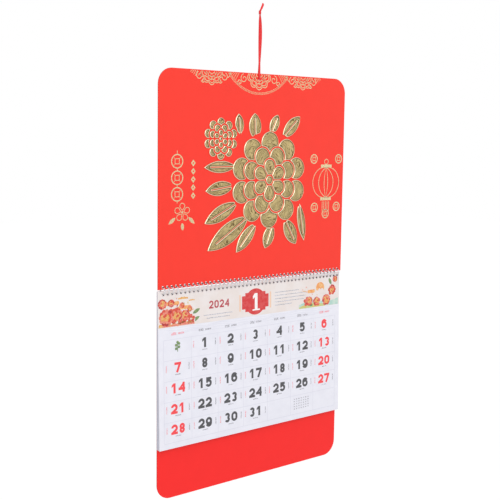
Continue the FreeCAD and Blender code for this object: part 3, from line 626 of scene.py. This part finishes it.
film_effect = metal_film()
gold_relief, tree, shader = finish_named("gold_relief")
relief_map = added(tree, "ShaderNodeUVMap", uv_map="engraving").outputs["UV"]
film = effect(tree, film_effect, {"Lines": 300.0, "Place": relief_map})
gap_value = added(tree, "ShaderNodeAttribute", attribute_name="rim_gap").outputs["Fac"]
# Masks for the painted highlight on the rim, and for the painted shade in the groove and in the
# engraved lines.
rim = calc(tree, "SUBTRACT", 1.0, stepped(tree, gap_value, 1.05, 1.35))
inside = stepped(tree, gap_value, 2.0, 2.7)
groove = calc(tree, "MULTIPLY", stepped(tree, gap_value, 1.15, 1.5),
              calc(tree, "SUBTRACT", 1.0, inside))
engraved_lines_and_shade = calc(tree, "MULTIPLY", film["Line"], calc(tree, "MULTIPLY", film["Patch"], inside))
tone = blend(tree, stepped(tree, film["Speck"], 0.35, 0.65), linear(146, 128, 84),
             linear(184, 167, 122))
# Painted light: the rim takes a pale painted highlight, and the groove and the engraved lines take
# a dark painted shade.
for mask, share, colour in ((engraved_lines_and_shade, 0.9, linear(78, 60, 32)), (groove, 0.9, linear(82, 64, 34)),
                            (rim, 0.85, linear(240, 231, 200))):
    tone = blend(tree, scaled(tree, mask, share), tone, colour)
hollow = calc(tree, "SUBTRACT", scaled(tree, film["Speck"], 0.4), engraved_lines_and_shade)
fed(tree, shader, {"Base Color": tone, "Metallic": 1.0,
                   "Roughness": scaled(tree, film["Speck"], 0.2, 0.26),
                   "Normal": bump(tree, hollow, 0.0002)})
relief = new_piece("gold_relief", relief_mesh, gold_relief, "headboard", "relief_emblem",
                   smooth=False)
relief_mesh.set_sharp_from_angle(angle=math.radians(48))
for face in relief_mesh.polygons:
    face.use_smooth = True


# The foil: gold film stamped into the headboard in thin lines, as the flower border under
# its top edge and the two small groups beside the relief.

gold_foil, tree, shader = finish_named("gold_foil")
foil_place = added(tree, "ShaderNodeTexCoord").outputs["Object"]
film = effect(tree, film_effect, {"Lines": 900.0, "Place": foil_place})
worn = stepped(tree, film["Speck"], 0.3, 0.7)
fed(tree, shader, {"Base Color": blend(tree, worn, linear(162, 144, 106), linear(210, 194, 156)),
                   "Metallic": 0.85, "Roughness": scaled(tree, worn, 0.2, 0.24),
                   "Normal": bump(tree, film["Speck"], 0.00005)})
for node in ("left_motif_foil", "right_motif_foil"):
    dressed(node, gold_foil)

board_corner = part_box("upper_board")[1]
foil_thick = 0.1 * mm
lace_reach, lace_middle = 82.0, (0, -47.4)
half_board = board_corner.x / mm - 1.2
hole_below, hole_clear, edge_clear = 8.6, 3.4, 0.9


def around(middle, reach, way):
    """The point this far from the middle, this way round it."""
    return middle[0] + reach * math.cos(way), middle[1] + reach * math.sin(way)


def scallops(middle, radius, lobes, rise):
    """A scalloped arc hung from the top edge, from right to left."""
    return [[around(middle, radius * (1 + rise * math.sin(math.pi * step / 8)),
                    math.pi * (lobe + step / 8) / lobes) for step in range(9)]
            for lobe in range(lobes)]


def curl(middle, radius, turns, start, hand):
    """A scroll that winds in from this radius; hand is 1 or -1."""
    count = int(18 * turns)
    return [around(middle, radius * (1 - 0.8 * step / (18 * turns)),
                   math.radians(start) + hand * 2 * math.pi * step / 18)
            for step in range(count + 1)]


def half_peony(middle, radius):
    """A full flower seen from its side, hung from the top edge: scalloped rows of petals."""
    lines = []
    for reach, lobes, rise in ((1, 5, 0.2), (0.86, 5, 0.2), (0.64, 6, 0.22), (0.44, 5, 0.26),
                               (0.24, 3, 0.3)):
        lines += scallops(middle, reach * radius, lobes, rise)
    for number in range(13):
        way = math.radians(10 + 160 * number / 12)
        near, far = (0.5, 0.6) if number % 2 else (0.72, 0.82)
        lines.append([around(middle, reach * radius, way + 0.16 * (reach - near))
                      for reach in (near, far)])
    return lines


def bowed(foot, bow, tip, sign):
    """A line from foot to tip that leans towards the bow; sign -1 gives its mirror image."""
    foot, bow, tip = np.array(foot), np.array(bow), np.array(tip)
    points = [(1 - t) ** 2 * foot + 2 * t * (1 - t) * bow + t * t * tip
              for t in np.linspace(0, 1, 8)]
    return [(sign * across, down) for across, down in points]


lace_lines = [(line, 1.25) for line in half_peony((0, 1.0), 21.5)]
for sign in (-1, 1):
    lace_lines += [(line, 1.15) for line in half_peony((sign * 98, 0.0), 19.0)]
    for across, down, radius, start, hand in ((32, 9.5, 7.6, -80, 1), (41, 16, 4.8, 60, -1),
                                              (73, 9, 7.0, 250, -1), (122, 9, 6.6, -70, 1),
                                              (115, 16.5, 3.6, 0, 1), (81, 16.5, 3.6, 180, -1)):
        way = start if sign > 0 else 180 - start
        lace_lines.append((curl((sign * across, down), radius, 1.25, way, hand * sign), 1.2))
    for step in range(5):
        foot, tip = (42 + 4.0 * step, 1.0), (49.5 + 3.2 * step, 12.5 - 2.0 * step)
        bow = (foot[0] + 6.5, 0.7 * tip[1])
        lace_lines.append((bowed(foot, bow, tip, sign), 0.7))
    for step in range(4):
        lace_lines.append(([(sign * (126 + 3.2 * step + 4.5 * t), 1.0 + (9 - 2.0 * step) * t
                             * (1.4 - 0.4 * t)) for t in np.linspace(0, 1, 6)], 0.8))
    lace_lines.append(([(sign * (59 + 8 * t), 1 + 9 * t * (2 - t)) for t in np.linspace(0, 1, 7)],
                       1.1))
for reach, width in ((lace_reach, 0.4), (lace_reach - 3.0, 0.4)):
    lace_lines.append(([around(lace_middle, reach, way)
                        for way in np.radians(np.linspace(36, 144, 60))], width))
for number in range(56):
    way = math.radians(36 + 108 * number / 55)
    lace_lines.append(([around(lace_middle, lace_reach - 2.8, way),
                        around(lace_middle, lace_reach - 0.2, way + 0.03)], 0.5))


def on_board(line):
    """The parts of a line, in mm across and down from the top edge, that are on the board
    and clear of the ribbon's hole."""
    parts, part = [], []
    for across, down in line:
        clear = math.hypot(across, down - hole_below) > hole_clear
        if edge_clear < down and abs(across) < half_board and clear:
            part.append(Vector((across * mm, board_face - foil_thick / 2,
                                board_corner.z - down * mm)))
        elif part:
            parts.append(part)
            part = []
    return [part for part in parts + [part] if len(part) > 1]


def drawn_bands(name, parts, facing, thin):
    """Flat lines of one width each, as one mesh; facing is the sheet's outward way."""
    shape = bmesh.new()
    for points, width in parts:
        joined(shape, band_mesh("band", points, lambda part: width,
                                lambda part, along, point: along.cross(facing),
                                lambda part: 0.0, thin, across=2))
    return mesh_of(shape, name)


lace_parts = [(part, width * mm) for line, width in lace_lines for part in on_board(line)]
lace_mesh = drawn_bands("flower_border", lace_parts, Vector((0, -1, 0)), foil_thick)
lace = new_piece("flower_border", lace_mesh, gold_foil, "headboard", "top_lace_foil",
                 smooth=False)


# The page block: thirteen sheets of coated paper, punched along the top for the wire and
# fanned out towards their foot, where the ends don't quite line up.

page_low, page_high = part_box("page_pad")
wire_low, wire_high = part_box("binding_wire")
loop_pitch, loop_count = 25.4 / 3 * mm, 46
row_start = -(loop_count - 1) / 2 * loop_pitch
hole_side, hole_drop = 3.4 * mm, 6.0 * mm
page_top, page_left, page_right = page_high.z, page_low.x, page_high.x
page_deep = page_high.z - page_low.z
sheet_count, sheet_thick, columns = 13, 0.1 * mm, 24
block_top, block_foot, stagger = 1.6 * mm, 8.0 * mm, 1.2 * mm


def punched_sheet(name, left, right, deep, rows):
    """One flat sheet with a closed edge, hung from z = 0 down, face at y = 0, thickness
    behind it, with a row of square holes near its top."""
    points = []
    corners = [np.array(corner) for corner in
               ((left, 0), (right, 0), (right, -deep), (left, -deep))]
    for here, after, parts in zip(corners, corners[1:] + corners[:1], (columns, rows) * 2):
        points += [here + (after - here) * part / parts for part in range(parts)]
    sides = [(number, (number + 1) % len(points)) for number in range(len(points))]
    half = hole_side / 2
    middles = [row_start + number * loop_pitch for number in range(loop_count)]
    for middle in middles:
        first = len(points)
        points += [np.array((middle + across * half, -hole_drop + up * half))
                   for across, up in ((-1, -1), (1, -1), (1, 1), (-1, 1))]
        sides += [(first + step, first + (step + 1) % 4) for step in range(4)]
    for row in range(1, rows):
        points += [np.array((left + (right - left) * column / columns, -deep * row / rows))
                   for column in range(1, columns)]
    made = delaunay_2d_cdt([Vector(point) for point in points], sides, [], 0, merged_within)
    places, faces = made[0], made[2]
    shape = bmesh.new()
    fronts = [shape.verts.new((point[0], 0, point[1])) for point in places]
    backs = [shape.verts.new((point[0], sheet_thick, point[1])) for point in places]
    open_sides = {}
    for face in faces:
        corners = [places[index] for index in face]
        middle = sum(corners, Vector((0, 0))) / len(face)
        if (abs(middle.y + hole_drop) < half
                and any(abs(middle.x - centre) < half for centre in middles)):
            continue
        order = list(face) if area_of(corners) > 0 else face[::-1]
        shape.faces.new([fronts[index] for index in order])
        shape.faces.new([backs[index] for index in reversed(order)])
        for here, after in zip(order, order[1:] + order[:1]):
            if (after, here) in open_sides:
                del open_sides[(after, here)]
            else:
                open_sides[(here, after)] = True
    for here, after in open_sides:
        shape.faces.new((fronts[after], fronts[here], backs[here], backs[after]))
    return mesh_of(shape, name)


def shape_group(name, sizes):
    """A geometry group with a shape, these sizes and a finish as its inputs."""
    return group_named(name, {"Geometry": "Geometry", **sizes, "Finish": "Material"},
                       ("Geometry",), "Geometry", "Geometry")


def given_out(tree, entry, leave, shape):
    """The shape leaves the group with the finish that the group was given."""
    finish = added(tree, "GeometryNodeSetMaterial", {"Geometry": shape,
                                                     "Material": entry["Finish"]})
    fed(tree, leave, {"Geometry": finish.outputs["Geometry"]})
    return tree


def grown_mesh(name, start, tree, values, material):
    """The plain mesh that the tree makes of the start object's shape."""
    holder = bpy.data.objects.new(name + "_start", start)
    scene.collection.objects.link(holder)
    modifier = holder.modifiers.new("growth", "NODES")
    modifier.node_group = tree
    keys = {item.name: item.identifier for item in tree.interface.items_tree
            if item.in_out == "INPUT"}
    for label, value in values.items():
        modifier[keys[label]] = value
    modifier[keys["Finish"]] = material
    graph = bpy.context.evaluated_depsgraph_get()
    mesh = bpy.data.meshes.new_from_object(holder.evaluated_get(graph))
    mesh.name = name
    holder.modifiers.clear()
    bpy.data.objects.remove(holder)
    return mesh


def page_fan():
    """Sheets one behind another, each a little less tilted than the one before it."""
    tree, entry, leave = shape_group("page_fan", {
        "Sheets": 13, "Top Depth": 0.0016, "Foot Depth": 0.008, "Height": 0.2586,
        "Stagger": 0.0012, "Seed": 3})
    line = added(tree, "GeometryNodeMeshLine", {"Offset": (0, 0, 0), "Count": entry["Sheets"]})
    stored = added(tree, "GeometryNodeInstanceOnPoints", {
        "Points": line.outputs["Mesh"], "Instance": entry["Geometry"]}).outputs["Instances"]
    share = calc(tree, "DIVIDE", added(tree, "GeometryNodeInputIndex").outputs[0],
                 calc(tree, "SUBTRACT", entry["Sheets"], 1.0))
    chance = added(tree, "FunctionNodeRandomValue", {"Seed": entry["Seed"]},
                   data_type="FLOAT").outputs[1]
    for label, value in (("share", share), ("chance", chance)):
        stored = added(tree, "GeometryNodeStoreNamedAttribute",
                       {"Name": label, "Geometry": stored, "Value": value},
                       data_type="FLOAT", domain="INSTANCE").outputs["Geometry"]
    real = added(tree, "GeometryNodeRealizeInstances", {"Geometry": stored})
    share, chance = [added(tree, "GeometryNodeInputNamedAttribute", {"Name": label},
                           data_type="FLOAT").outputs["Attribute"]
                     for label in ("share", "chance")]
    place = added(tree, "GeometryNodeInputPosition").outputs[0]
    level = added(tree, "ShaderNodeSeparateXYZ", {0: place}).outputs["Z"]
    down = calc(tree, "DIVIDE", scaled(tree, level, -1.0), entry["Height"])
    flare = calc(tree, "SUBTRACT", entry["Foot Depth"], entry["Top Depth"])
    front = calc(tree, "ADD", entry["Top Depth"], calc(tree, "MULTIPLY", flare, down))
    bow = calc(tree, "MULTIPLY", calc(tree, "MULTIPLY", down, calc(tree, "SUBTRACT", 1.0, down)),
               scaled(tree, share, 0.35))
    room = calc(tree, "SUBTRACT", calc(tree, "SUBTRACT", 1.0, share), bow)
    forward = calc(tree, "MULTIPLY", front, calc(tree, "MAXIMUM", room, 0.02))
    behind_first = calc(tree, "GREATER_THAN", share, 0.01)
    uneven = calc(tree, "MULTIPLY", entry["Stagger"], calc(tree, "MULTIPLY", chance, behind_first))
    move = added(tree, "ShaderNodeCombineXYZ", {"Y": scaled(tree, forward, -1.0),
                                                "Z": calc(tree, "MULTIPLY", uneven, down)})
    shift = added(tree, "GeometryNodeSetPosition", {"Geometry": real.outputs["Geometry"],
                                                    "Offset": move.outputs[0]})
    return given_out(tree, entry, leave, shift.outputs["Geometry"])


page_paper, tree, shader = finish_named("page_paper")
fibre = effect(tree, fibre_effect, {"Mottle Scale": 60.0, "Fibre Scale": 3200.0})
tone = blend(tree, stepped(tree, fibre["Mottle"], 0.3, 0.7), linear(234, 234, 244),
             linear(240, 240, 249))
fed(tree, shader, {"Base Color": blend(tree, fibre["Edge"], tone, linear(214, 212, 224)),
                   "Roughness": scaled(tree, fibre["Fibre"], 0.15, 0.45),
                   "Specular IOR Level": 0.3, "Normal": bump(tree, fibre["Fibre"], 0.00003)})

one_page = punched_sheet("one_page", page_left, page_right, page_deep - 0.1 * mm, 8)
block_mesh = grown_mesh("month_pages", one_page, page_fan(),
                        {"Sheets": sheet_count, "Top Depth": block_top, "Foot Depth": block_foot,
                         "Height": page_deep, "Stagger": stagger, "Seed": 3}, page_paper)
block_mesh.transform(Matrix.Translation((0, page_high.y, page_top)))
pages = new_piece("month_pages", block_mesh, page_paper, "pages", "page_pad", smooth=False)


# The printing: flat inks on the top sheet, for the tinted header with its art, the month's
# plate and number, the dates, the rules between them and the small marks beside them.

def ink_finish(name, colour, second=None, scale=160.0, sharp=0.06):
    """An offset ink on paper; a second colour lies over part of it where it is given."""
    material, tree, shader = finish_named(name)
    fibre = effect(tree, fibre_effect, {"Mottle Scale": scale, "Fibre Scale": 3200.0})
    lighter = tuple(value + 0.06 * (1 - value) for value in colour[:3]) + (1,)
    tone = blend(tree, stepped(tree, fibre["Fibre"], 0.3, 0.7), colour, lighter)
    if second:
        tone = blend(tree, stepped(tree, fibre["Mottle"], 0.5 - sharp, 0.5 + sharp), tone, second)
    fed(tree, shader, {"Base Color": tone, "Roughness": 0.5, "Specular IOR Level": 0.3,
                       "Normal": bump(tree, fibre["Fibre"], 0.00003)})
    return material


paper_tone = linear(236, 236, 246)
red_ink = ink_finish("red_ink", linear(248, 66, 72))
dark_ink = ink_finish("dark_ink", linear(70, 70, 74))
grey_ink = ink_finish("grey_ink", linear(128, 126, 134), paper_tone, 1500.0, 0.03)
note_ink = ink_finish("note_ink", linear(244, 118, 130), paper_tone, 1500.0, 0.03)
rule_ink = ink_finish("rule_ink", linear(218, 218, 231))
inks = {
    "header_band": ink_finish("header_tint", linear(238, 230, 228), linear(236, 226, 222), 30.0),
    "header_blossoms": ink_finish("blossom_ink", linear(206, 58, 52), linear(232, 120, 96), 420.0),
    "header_sun": ink_finish("sun_ink", linear(240, 158, 92), linear(246, 194, 132), 120.0),
    "header_leaves": ink_finish("leaf_ink", linear(96, 132, 90), linear(140, 158, 104), 300.0),
    "header_lines": grey_ink, "grey_marks": grey_ink, "red_marks": note_ink,
    "month_plate": ink_finish("plate_ink", linear(218, 68, 68), linear(214, 62, 64), 200.0),
    "month_plate_sides": ink_finish("side_ink", linear(243, 203, 174)),
    "month_number": ink_finish("white_ink", linear(252, 250, 248)),
    "year_number": ink_finish("year_ink", linear(184, 58, 72)),
    "table_rules": rule_ink, "weekday_dates": dark_ink, "weekend_dates": red_ink,
}
for node, ink in inks.items():
    dressed(node, ink)

page_tilt = math.atan2(block_foot - block_top, page_deep)
page_out = Vector((0, -math.cos(page_tilt), math.sin(page_tilt)))
page_middle = (page_left + page_right) / 2
page_front = page_high.y - block_top
ink_film = 0.05 * mm


def page_point(across, down, above):
    """A place on the top sheet: mm right of its middle, mm below its top, mm before it."""
    along = Vector((0, -math.sin(page_tilt), -math.cos(page_tilt)))
    return (Vector((page_middle + across * mm, page_front, page_top)) + along * down * mm
            + page_out * above * mm)


def printed_fields(name, fields, material, slot):
    """Flat fields of one ink: each is an outline in mm on the page and its height over it."""
    shape = bmesh.new()
    for outline, above in fields:
        if area_of(outline) > 0:
            outline = outline[::-1]
        fronts, backs = [[shape.verts.new(page_point(x, down, level)) for x, down in outline]
                         for level in (above, above - ink_film / mm)]
        shape.faces.new(fronts)
        shape.faces.new(backs[::-1])
        for place in range(len(outline)):
            after = (place + 1) % len(outline)
            shape.faces.new((fronts[after], fronts[place], backs[place], backs[after]))
    piece = new_piece(name, mesh_of(shape, name), material, "pages", smooth=False)


def petal(middle, way, near, far, wide, above):
    """A round-ended petal's outline, from near to far along this way."""
    outline = []
    for step in range(10):
        turn = 2 * math.pi * step / 10
        run = (near + far) / 2 + (far - near) / 2 * math.cos(turn)
        side = wide / 2 * math.sin(turn) * (1 + 0.25 * math.cos(turn))
        outline.append((middle[0] + run * math.cos(way) - side * math.sin(way),
                        middle[1] + run * math.sin(way) + side * math.cos(way)))
    return outline, above


def cloud(middle, wide, deep, lobes, above):
    """A flat-footed cloud outline."""
    outline = [(middle[0] - wide / 2, middle[1]), (middle[0] + wide / 2, middle[1])]
    for lobe in range(lobes):
        for step in range(1, 6):
            turn = math.pi * step / 6
            across = wide / 2 - wide * (lobe + 0.5 - 0.5 * math.cos(turn)) / lobes
            high = 0.45 + 0.55 * math.sin(math.pi * (lobe + 0.5) / lobes)
            rise = deep * high * (0.55 + 0.45 * math.sin(turn))
            outline.append((middle[0] + across, middle[1] - rise))
    return outline, above


chance = random.Random(11)
reds, deep_reds, pinks, golds, greens, waters = [], [], [], [], [], []
petal_rings = ((11, 0.45, 1.0, 0.5), (9, 0.28, 0.74, 0.42), (7, 0.1, 0.46, 0.3))
ring_inks = ((reds, deep_reds, pinks), (pinks, golds, reds), (golds, reds, golds))
flowers = [(-183, 43, 14), (-163, 40, 11.5), (-146, 43, 9.5), (-190, 21, 8.5), (-173, 21, 6.5),
           (-137, 33, 5), (-152, 26, 5), (124, 47, 8.5), (142, 49, 8), (166, 48, 10),
           (181, 31, 9), (188, 12, 6)]
for x, down, radius in flowers:
    first = chance.uniform(0, 2)
    for ring, (count, near, far, wide) in enumerate(petal_rings):
        for number in range(count):
            way = first + 0.5 * ring + 2 * math.pi * number / count
            chosen = chance.choice(ring_inks[ring])
            chosen.append(petal((x, down), way, near * radius, far * radius, wide * radius,
                                0.26 + 0.06 * ring + 0.004 * number))
    golds.append(petal((x, down), 0, -0.12 * radius, 0.12 * radius, 0.24 * radius, 0.46))
for number in range(46):
    left = number < 30
    x = chance.uniform(-196, -128) if left else chance.uniform(108, 192)
    down = chance.uniform(14, 56) if left else chance.uniform(16, 54)
    way, reach = chance.uniform(0, 6.28), chance.uniform(2.2, 4.4)
    chosen = chance.choice((reds, golds, pinks, deep_reds, greens) if left else
                           (reds, pinks, golds))
    chosen.append(petal((x, down), way, 0, reach, 0.5 * reach, 0.22))
for x, wide in ((-186, 22), (-168, 24), (-150, 24), (-136, 16)):
    golds.append(cloud((x, 58.2), wide, chance.uniform(5, 8), 3, 0.2))
    pinks.append(cloud((x + 3, 58.4), 0.7 * wide, chance.uniform(3, 5), 3, 0.24))
for x, down, wide in ((-150, 16, 20), (-133, 20, 12), (112, 30, 12)):
    golds.append(cloud((x, down), wide, 0.2 * wide, 4, 0.16))
shore = [(100 + 8 * step, 52 - 3.4 * math.sin(0.5 * step) - 0.5 * step) for step in range(13)]
waters.append((shore + [(196, 59), (100, 59)], 0.16))
greens.append(([(x, down + 4.4) for x, down in shore[:9]] + [(164, 59), (100, 59)], 0.18))
sun_veil = [cloud((152.5, 36), 26, 10.5, 4, 0.27)]
for name, fields, ink, colour, second, scale, slot in (
        ("header_reds", reds, "petal_red", (214, 66, 54), (226, 92, 70), 500.0, "red_ink"),
        ("header_deep_reds", deep_reds, "petal_deep", (168, 48, 58), (196, 60, 60), 500.0,
         "crimson_ink"),
        ("header_pinks", pinks, "petal_pink", (238, 150, 128), (228, 120, 104), 500.0,
         "peach_ink"),
        ("header_golds", golds, "petal_gold", (236, 190, 120), (230, 160, 84), 400.0,
         "orange_ink"),
        ("header_greens", greens, "leaf_green", (196, 208, 140), (216, 200, 120), 150.0,
         "green_ink"),
        ("header_waters", waters, "shore_blue", (176, 214, 204), (206, 226, 214), 90.0,
         "green_ink")):
    printed_fields(name, fields, ink_finish(ink, linear(*colour), linear(*second), scale), slot)
printed_fields("sun_veil", sun_veil, inks["header_band"], "header_tint")

contours = []
for number in range(5):
    down = 61.5 + 2.7 * number
    line = [page_point(x, down + 1.5 * math.sin(x / 23 + number) + 1.0 * math.sin(x / 9.5), 0.02)
            for x in np.linspace(-196 + 9 * number, 190 - 5 * number, 90)]
    contours.append((line, 0.35 * mm))
contour_mesh = drawn_bands("page_contours", contours, page_out, 0.04 * mm)
contour_piece = new_piece("page_contours", contour_mesh, rule_ink, "pages", smooth=False)


# The backboard: the same red card as the headboard, with rounded lower corners.

back_card = card_finish("back_card", linear(255, 43, 41), linear(186, 26, 40),
                        linear(206, 44, 44))
dressed("lower_board", back_card)


# The wire: one continuous white lacquered steel wire bent into forty-six narrow double
# loops, closed through the punched holes, with a short link between each two loops behind.
# From the holes backwards the wire is painted dark grey, as painted shade in and behind the holes.

axis_z = (wire_low.z + wire_high.z) / 2
ring_radius, wire_gauge, pair_gap = 6.2 * mm, 1.0 * mm, 1.7 * mm
link_angle, close_angle = math.radians(62), math.radians(76)


def loop_line():
    """The middle line of one pitch of the wire: link, loop there, loop back, link."""
    half, near = loop_pitch / 2, pair_gap / 2
    full = 2 * math.pi - (close_angle - link_angle)
    ring = [around((0, 0), ring_radius, link_angle - full * part / 30) for part in range(1, 31)]
    link, bend, tip = [around((0, 0), ring_radius, way)
                       for way in (link_angle, link_angle - 0.02, link_angle - full - 0.08)]
    there = [(-half, *link), (-half + 0.4 * (half - near), *link), (-near - 0.45 * mm, *bend)]
    there += [(-near, *place) for place in ring] + [(-0.55 * near, *tip)]
    return there + [(-across, *place) for across, *place in reversed(there)]


def wire_row():
    """Round wire along the start curve, repeated at the pitch of the holes."""
    tree, entry, leave = shape_group("wire_row", {
        "Loops": 46, "Pitch": (0.0085, 0.0, 0.0), "First": (0.0, 0.0, 0.0),
        "Wire Radius": 0.00045, "Sides": 8})
    ring = added(tree, "GeometryNodeCurvePrimitiveCircle", {"Radius": entry["Wire Radius"],
                                                            "Resolution": entry["Sides"]})
    sweep = added(tree, "GeometryNodeCurveToMesh", {
        "Fill Caps": True, "Curve": entry["Geometry"], "Profile Curve": ring.outputs["Curve"]})
    line = added(tree, "GeometryNodeMeshLine", {
        "Count": entry["Loops"], "Start Location": entry["First"], "Offset": entry["Pitch"]})
    copies = added(tree, "GeometryNodeInstanceOnPoints", {
        "Points": line.outputs["Mesh"], "Instance": sweep.outputs["Mesh"]})
    real = added(tree, "GeometryNodeRealizeInstances", {"Geometry": copies.outputs["Instances"]})
    return given_out(tree, entry, leave, real.outputs["Geometry"])


lacquered, tree, shader = finish_named("lacquered_wire")
wire_place = added(tree, "ShaderNodeTexCoord").outputs["Object"]
wear = noise(tree, wire_place, 700)
deep_in = added(tree, "ShaderNodeSeparateXYZ", {0: wire_place}).outputs["Y"]
white_wire = blend(tree, stepped(tree, wear, 0.4, 0.7), linear(226, 226, 231),
                   linear(244, 244, 247))
# Painted shade: from the holes backwards the wire turns dark grey, standing in for the shade in and
# behind the holes.
hole_shade = stepped(tree, deep_in, -4.2 * mm, -3.0 * mm)
fed(tree, shader, {"Base Color": blend(tree, hole_shade, white_wire, linear(58, 54, 58)),
                   "Metallic": 0.2, "Roughness": 0.3, "Normal": bump(tree, wear, 0.00003)})

loop_curve = bpy.data.curves.new("one_loop", "CURVE")
loop_curve.dimensions = "3D"
loop_spline = loop_curve.splines.new("POLY")
loop_places = loop_line()
loop_spline.points.add(len(loop_places) - 1)
for point, place in zip(loop_spline.points, loop_places):
    point.co = (*place, 1)
wire_mesh = grown_mesh("twin_loop_wire", loop_curve, wire_row(),
                       {"Loops": loop_count, "Pitch": (loop_pitch, 0, 0),
                        "First": (row_start, 0, 0), "Wire Radius": wire_gauge / 2, "Sides": 8},
                       lacquered)
wire_mesh.transform(Matrix.Translation((0, 0, axis_z)))
wire = new_piece("twin_loop_wire", wire_mesh, lacquered, "headboard", "binding_wire")


# The setting: a pale floor some way under the hanging calendar, and soft white light from
# the front and above. The floor keeps the calendar's shadow and the world shows white.

def shown_white(tree):
    """1 for what the camera, a reflection or glass sees."""
    path = added(tree, "ShaderNodeLightPath").outputs
    seen = calc(tree, "MAXIMUM", path["Is Camera Ray"], path["Is Glossy Ray"])
    return calc(tree, "MAXIMUM", seen, path["Is Transmission Ray"])


def blended(tree, share, first, second, outcome):
    """The tree shows the second shader for this share, and the first for the rest."""
    mixed = added(tree, "ShaderNodeMixShader", {0: share, 1: first.outputs[0],
                                                2: second.outputs[0]})
    tree.links.new(mixed.outputs[0], tree.nodes[outcome].inputs["Surface"])


floor_reach, floor_level = 8, -1.15
floor_mesh = bpy.data.meshes.new("floor")
floor_mesh.from_pydata([(across * floor_reach, away * floor_reach, floor_level)
                        for across, away in ((-1, -1), (1, -1), (1, 1), (-1, 1))], [],
                       [(0, 1, 2, 3)])
floor = bpy.data.objects.new("floor", floor_mesh)
scene.collection.objects.link(floor)
pale, tree, shader = finish_named("pale_floor")
fed(tree, shader, {"Base Color": (0.86, 0.86, 0.86, 1), "Roughness": 0.9})
glow = added(tree, "ShaderNodeEmission", {"Strength": 1.09})
blended(tree, scaled(tree, shown_white(tree), 0.86), shader, glow, "Material Output")
floor_mesh.materials.append(pale)

scene.world = bpy.data.worlds.new("studio")
scene.world.use_nodes = True
tree = scene.world.node_tree
white = {"Color": (1, 1, 1, 1)}
fed(tree, tree.nodes["Background"], {**white, "Strength": 0.6})
bright = added(tree, "ShaderNodeBackground", {**white, "Strength": 1.0})
blended(tree, shown_white(tree), tree.nodes["Background"], bright, "World Output")


def soft_light(name, place, aim, width, watts):
    """A large soft lamp at this place, turned to its aim."""
    lamp_data = bpy.data.lights.new(name, "AREA")
    lamp_data.size = width
    lamp_data.energy = watts
    lamp = bpy.data.objects.new(name, lamp_data)
    lamp.location = place
    way = Vector(aim) - Vector(place)
    lamp.rotation_euler = way.to_track_quat("-Z", "Y").to_euler()
    scene.collection.objects.link(lamp)


middle_height = (model_box[0][2] + model_box[1][2]) / 2
soft_light("key_light", (-1.6, -2.6, 1.2), (0, 0, middle_height), 2.2, 41)
soft_light("fill_light", (2.2, -2.4, 0.2), (0, 0, middle_height), 2.4, 16)

scene.view_settings.view_transform = "Standard"
bpy.context.view_layer.update()
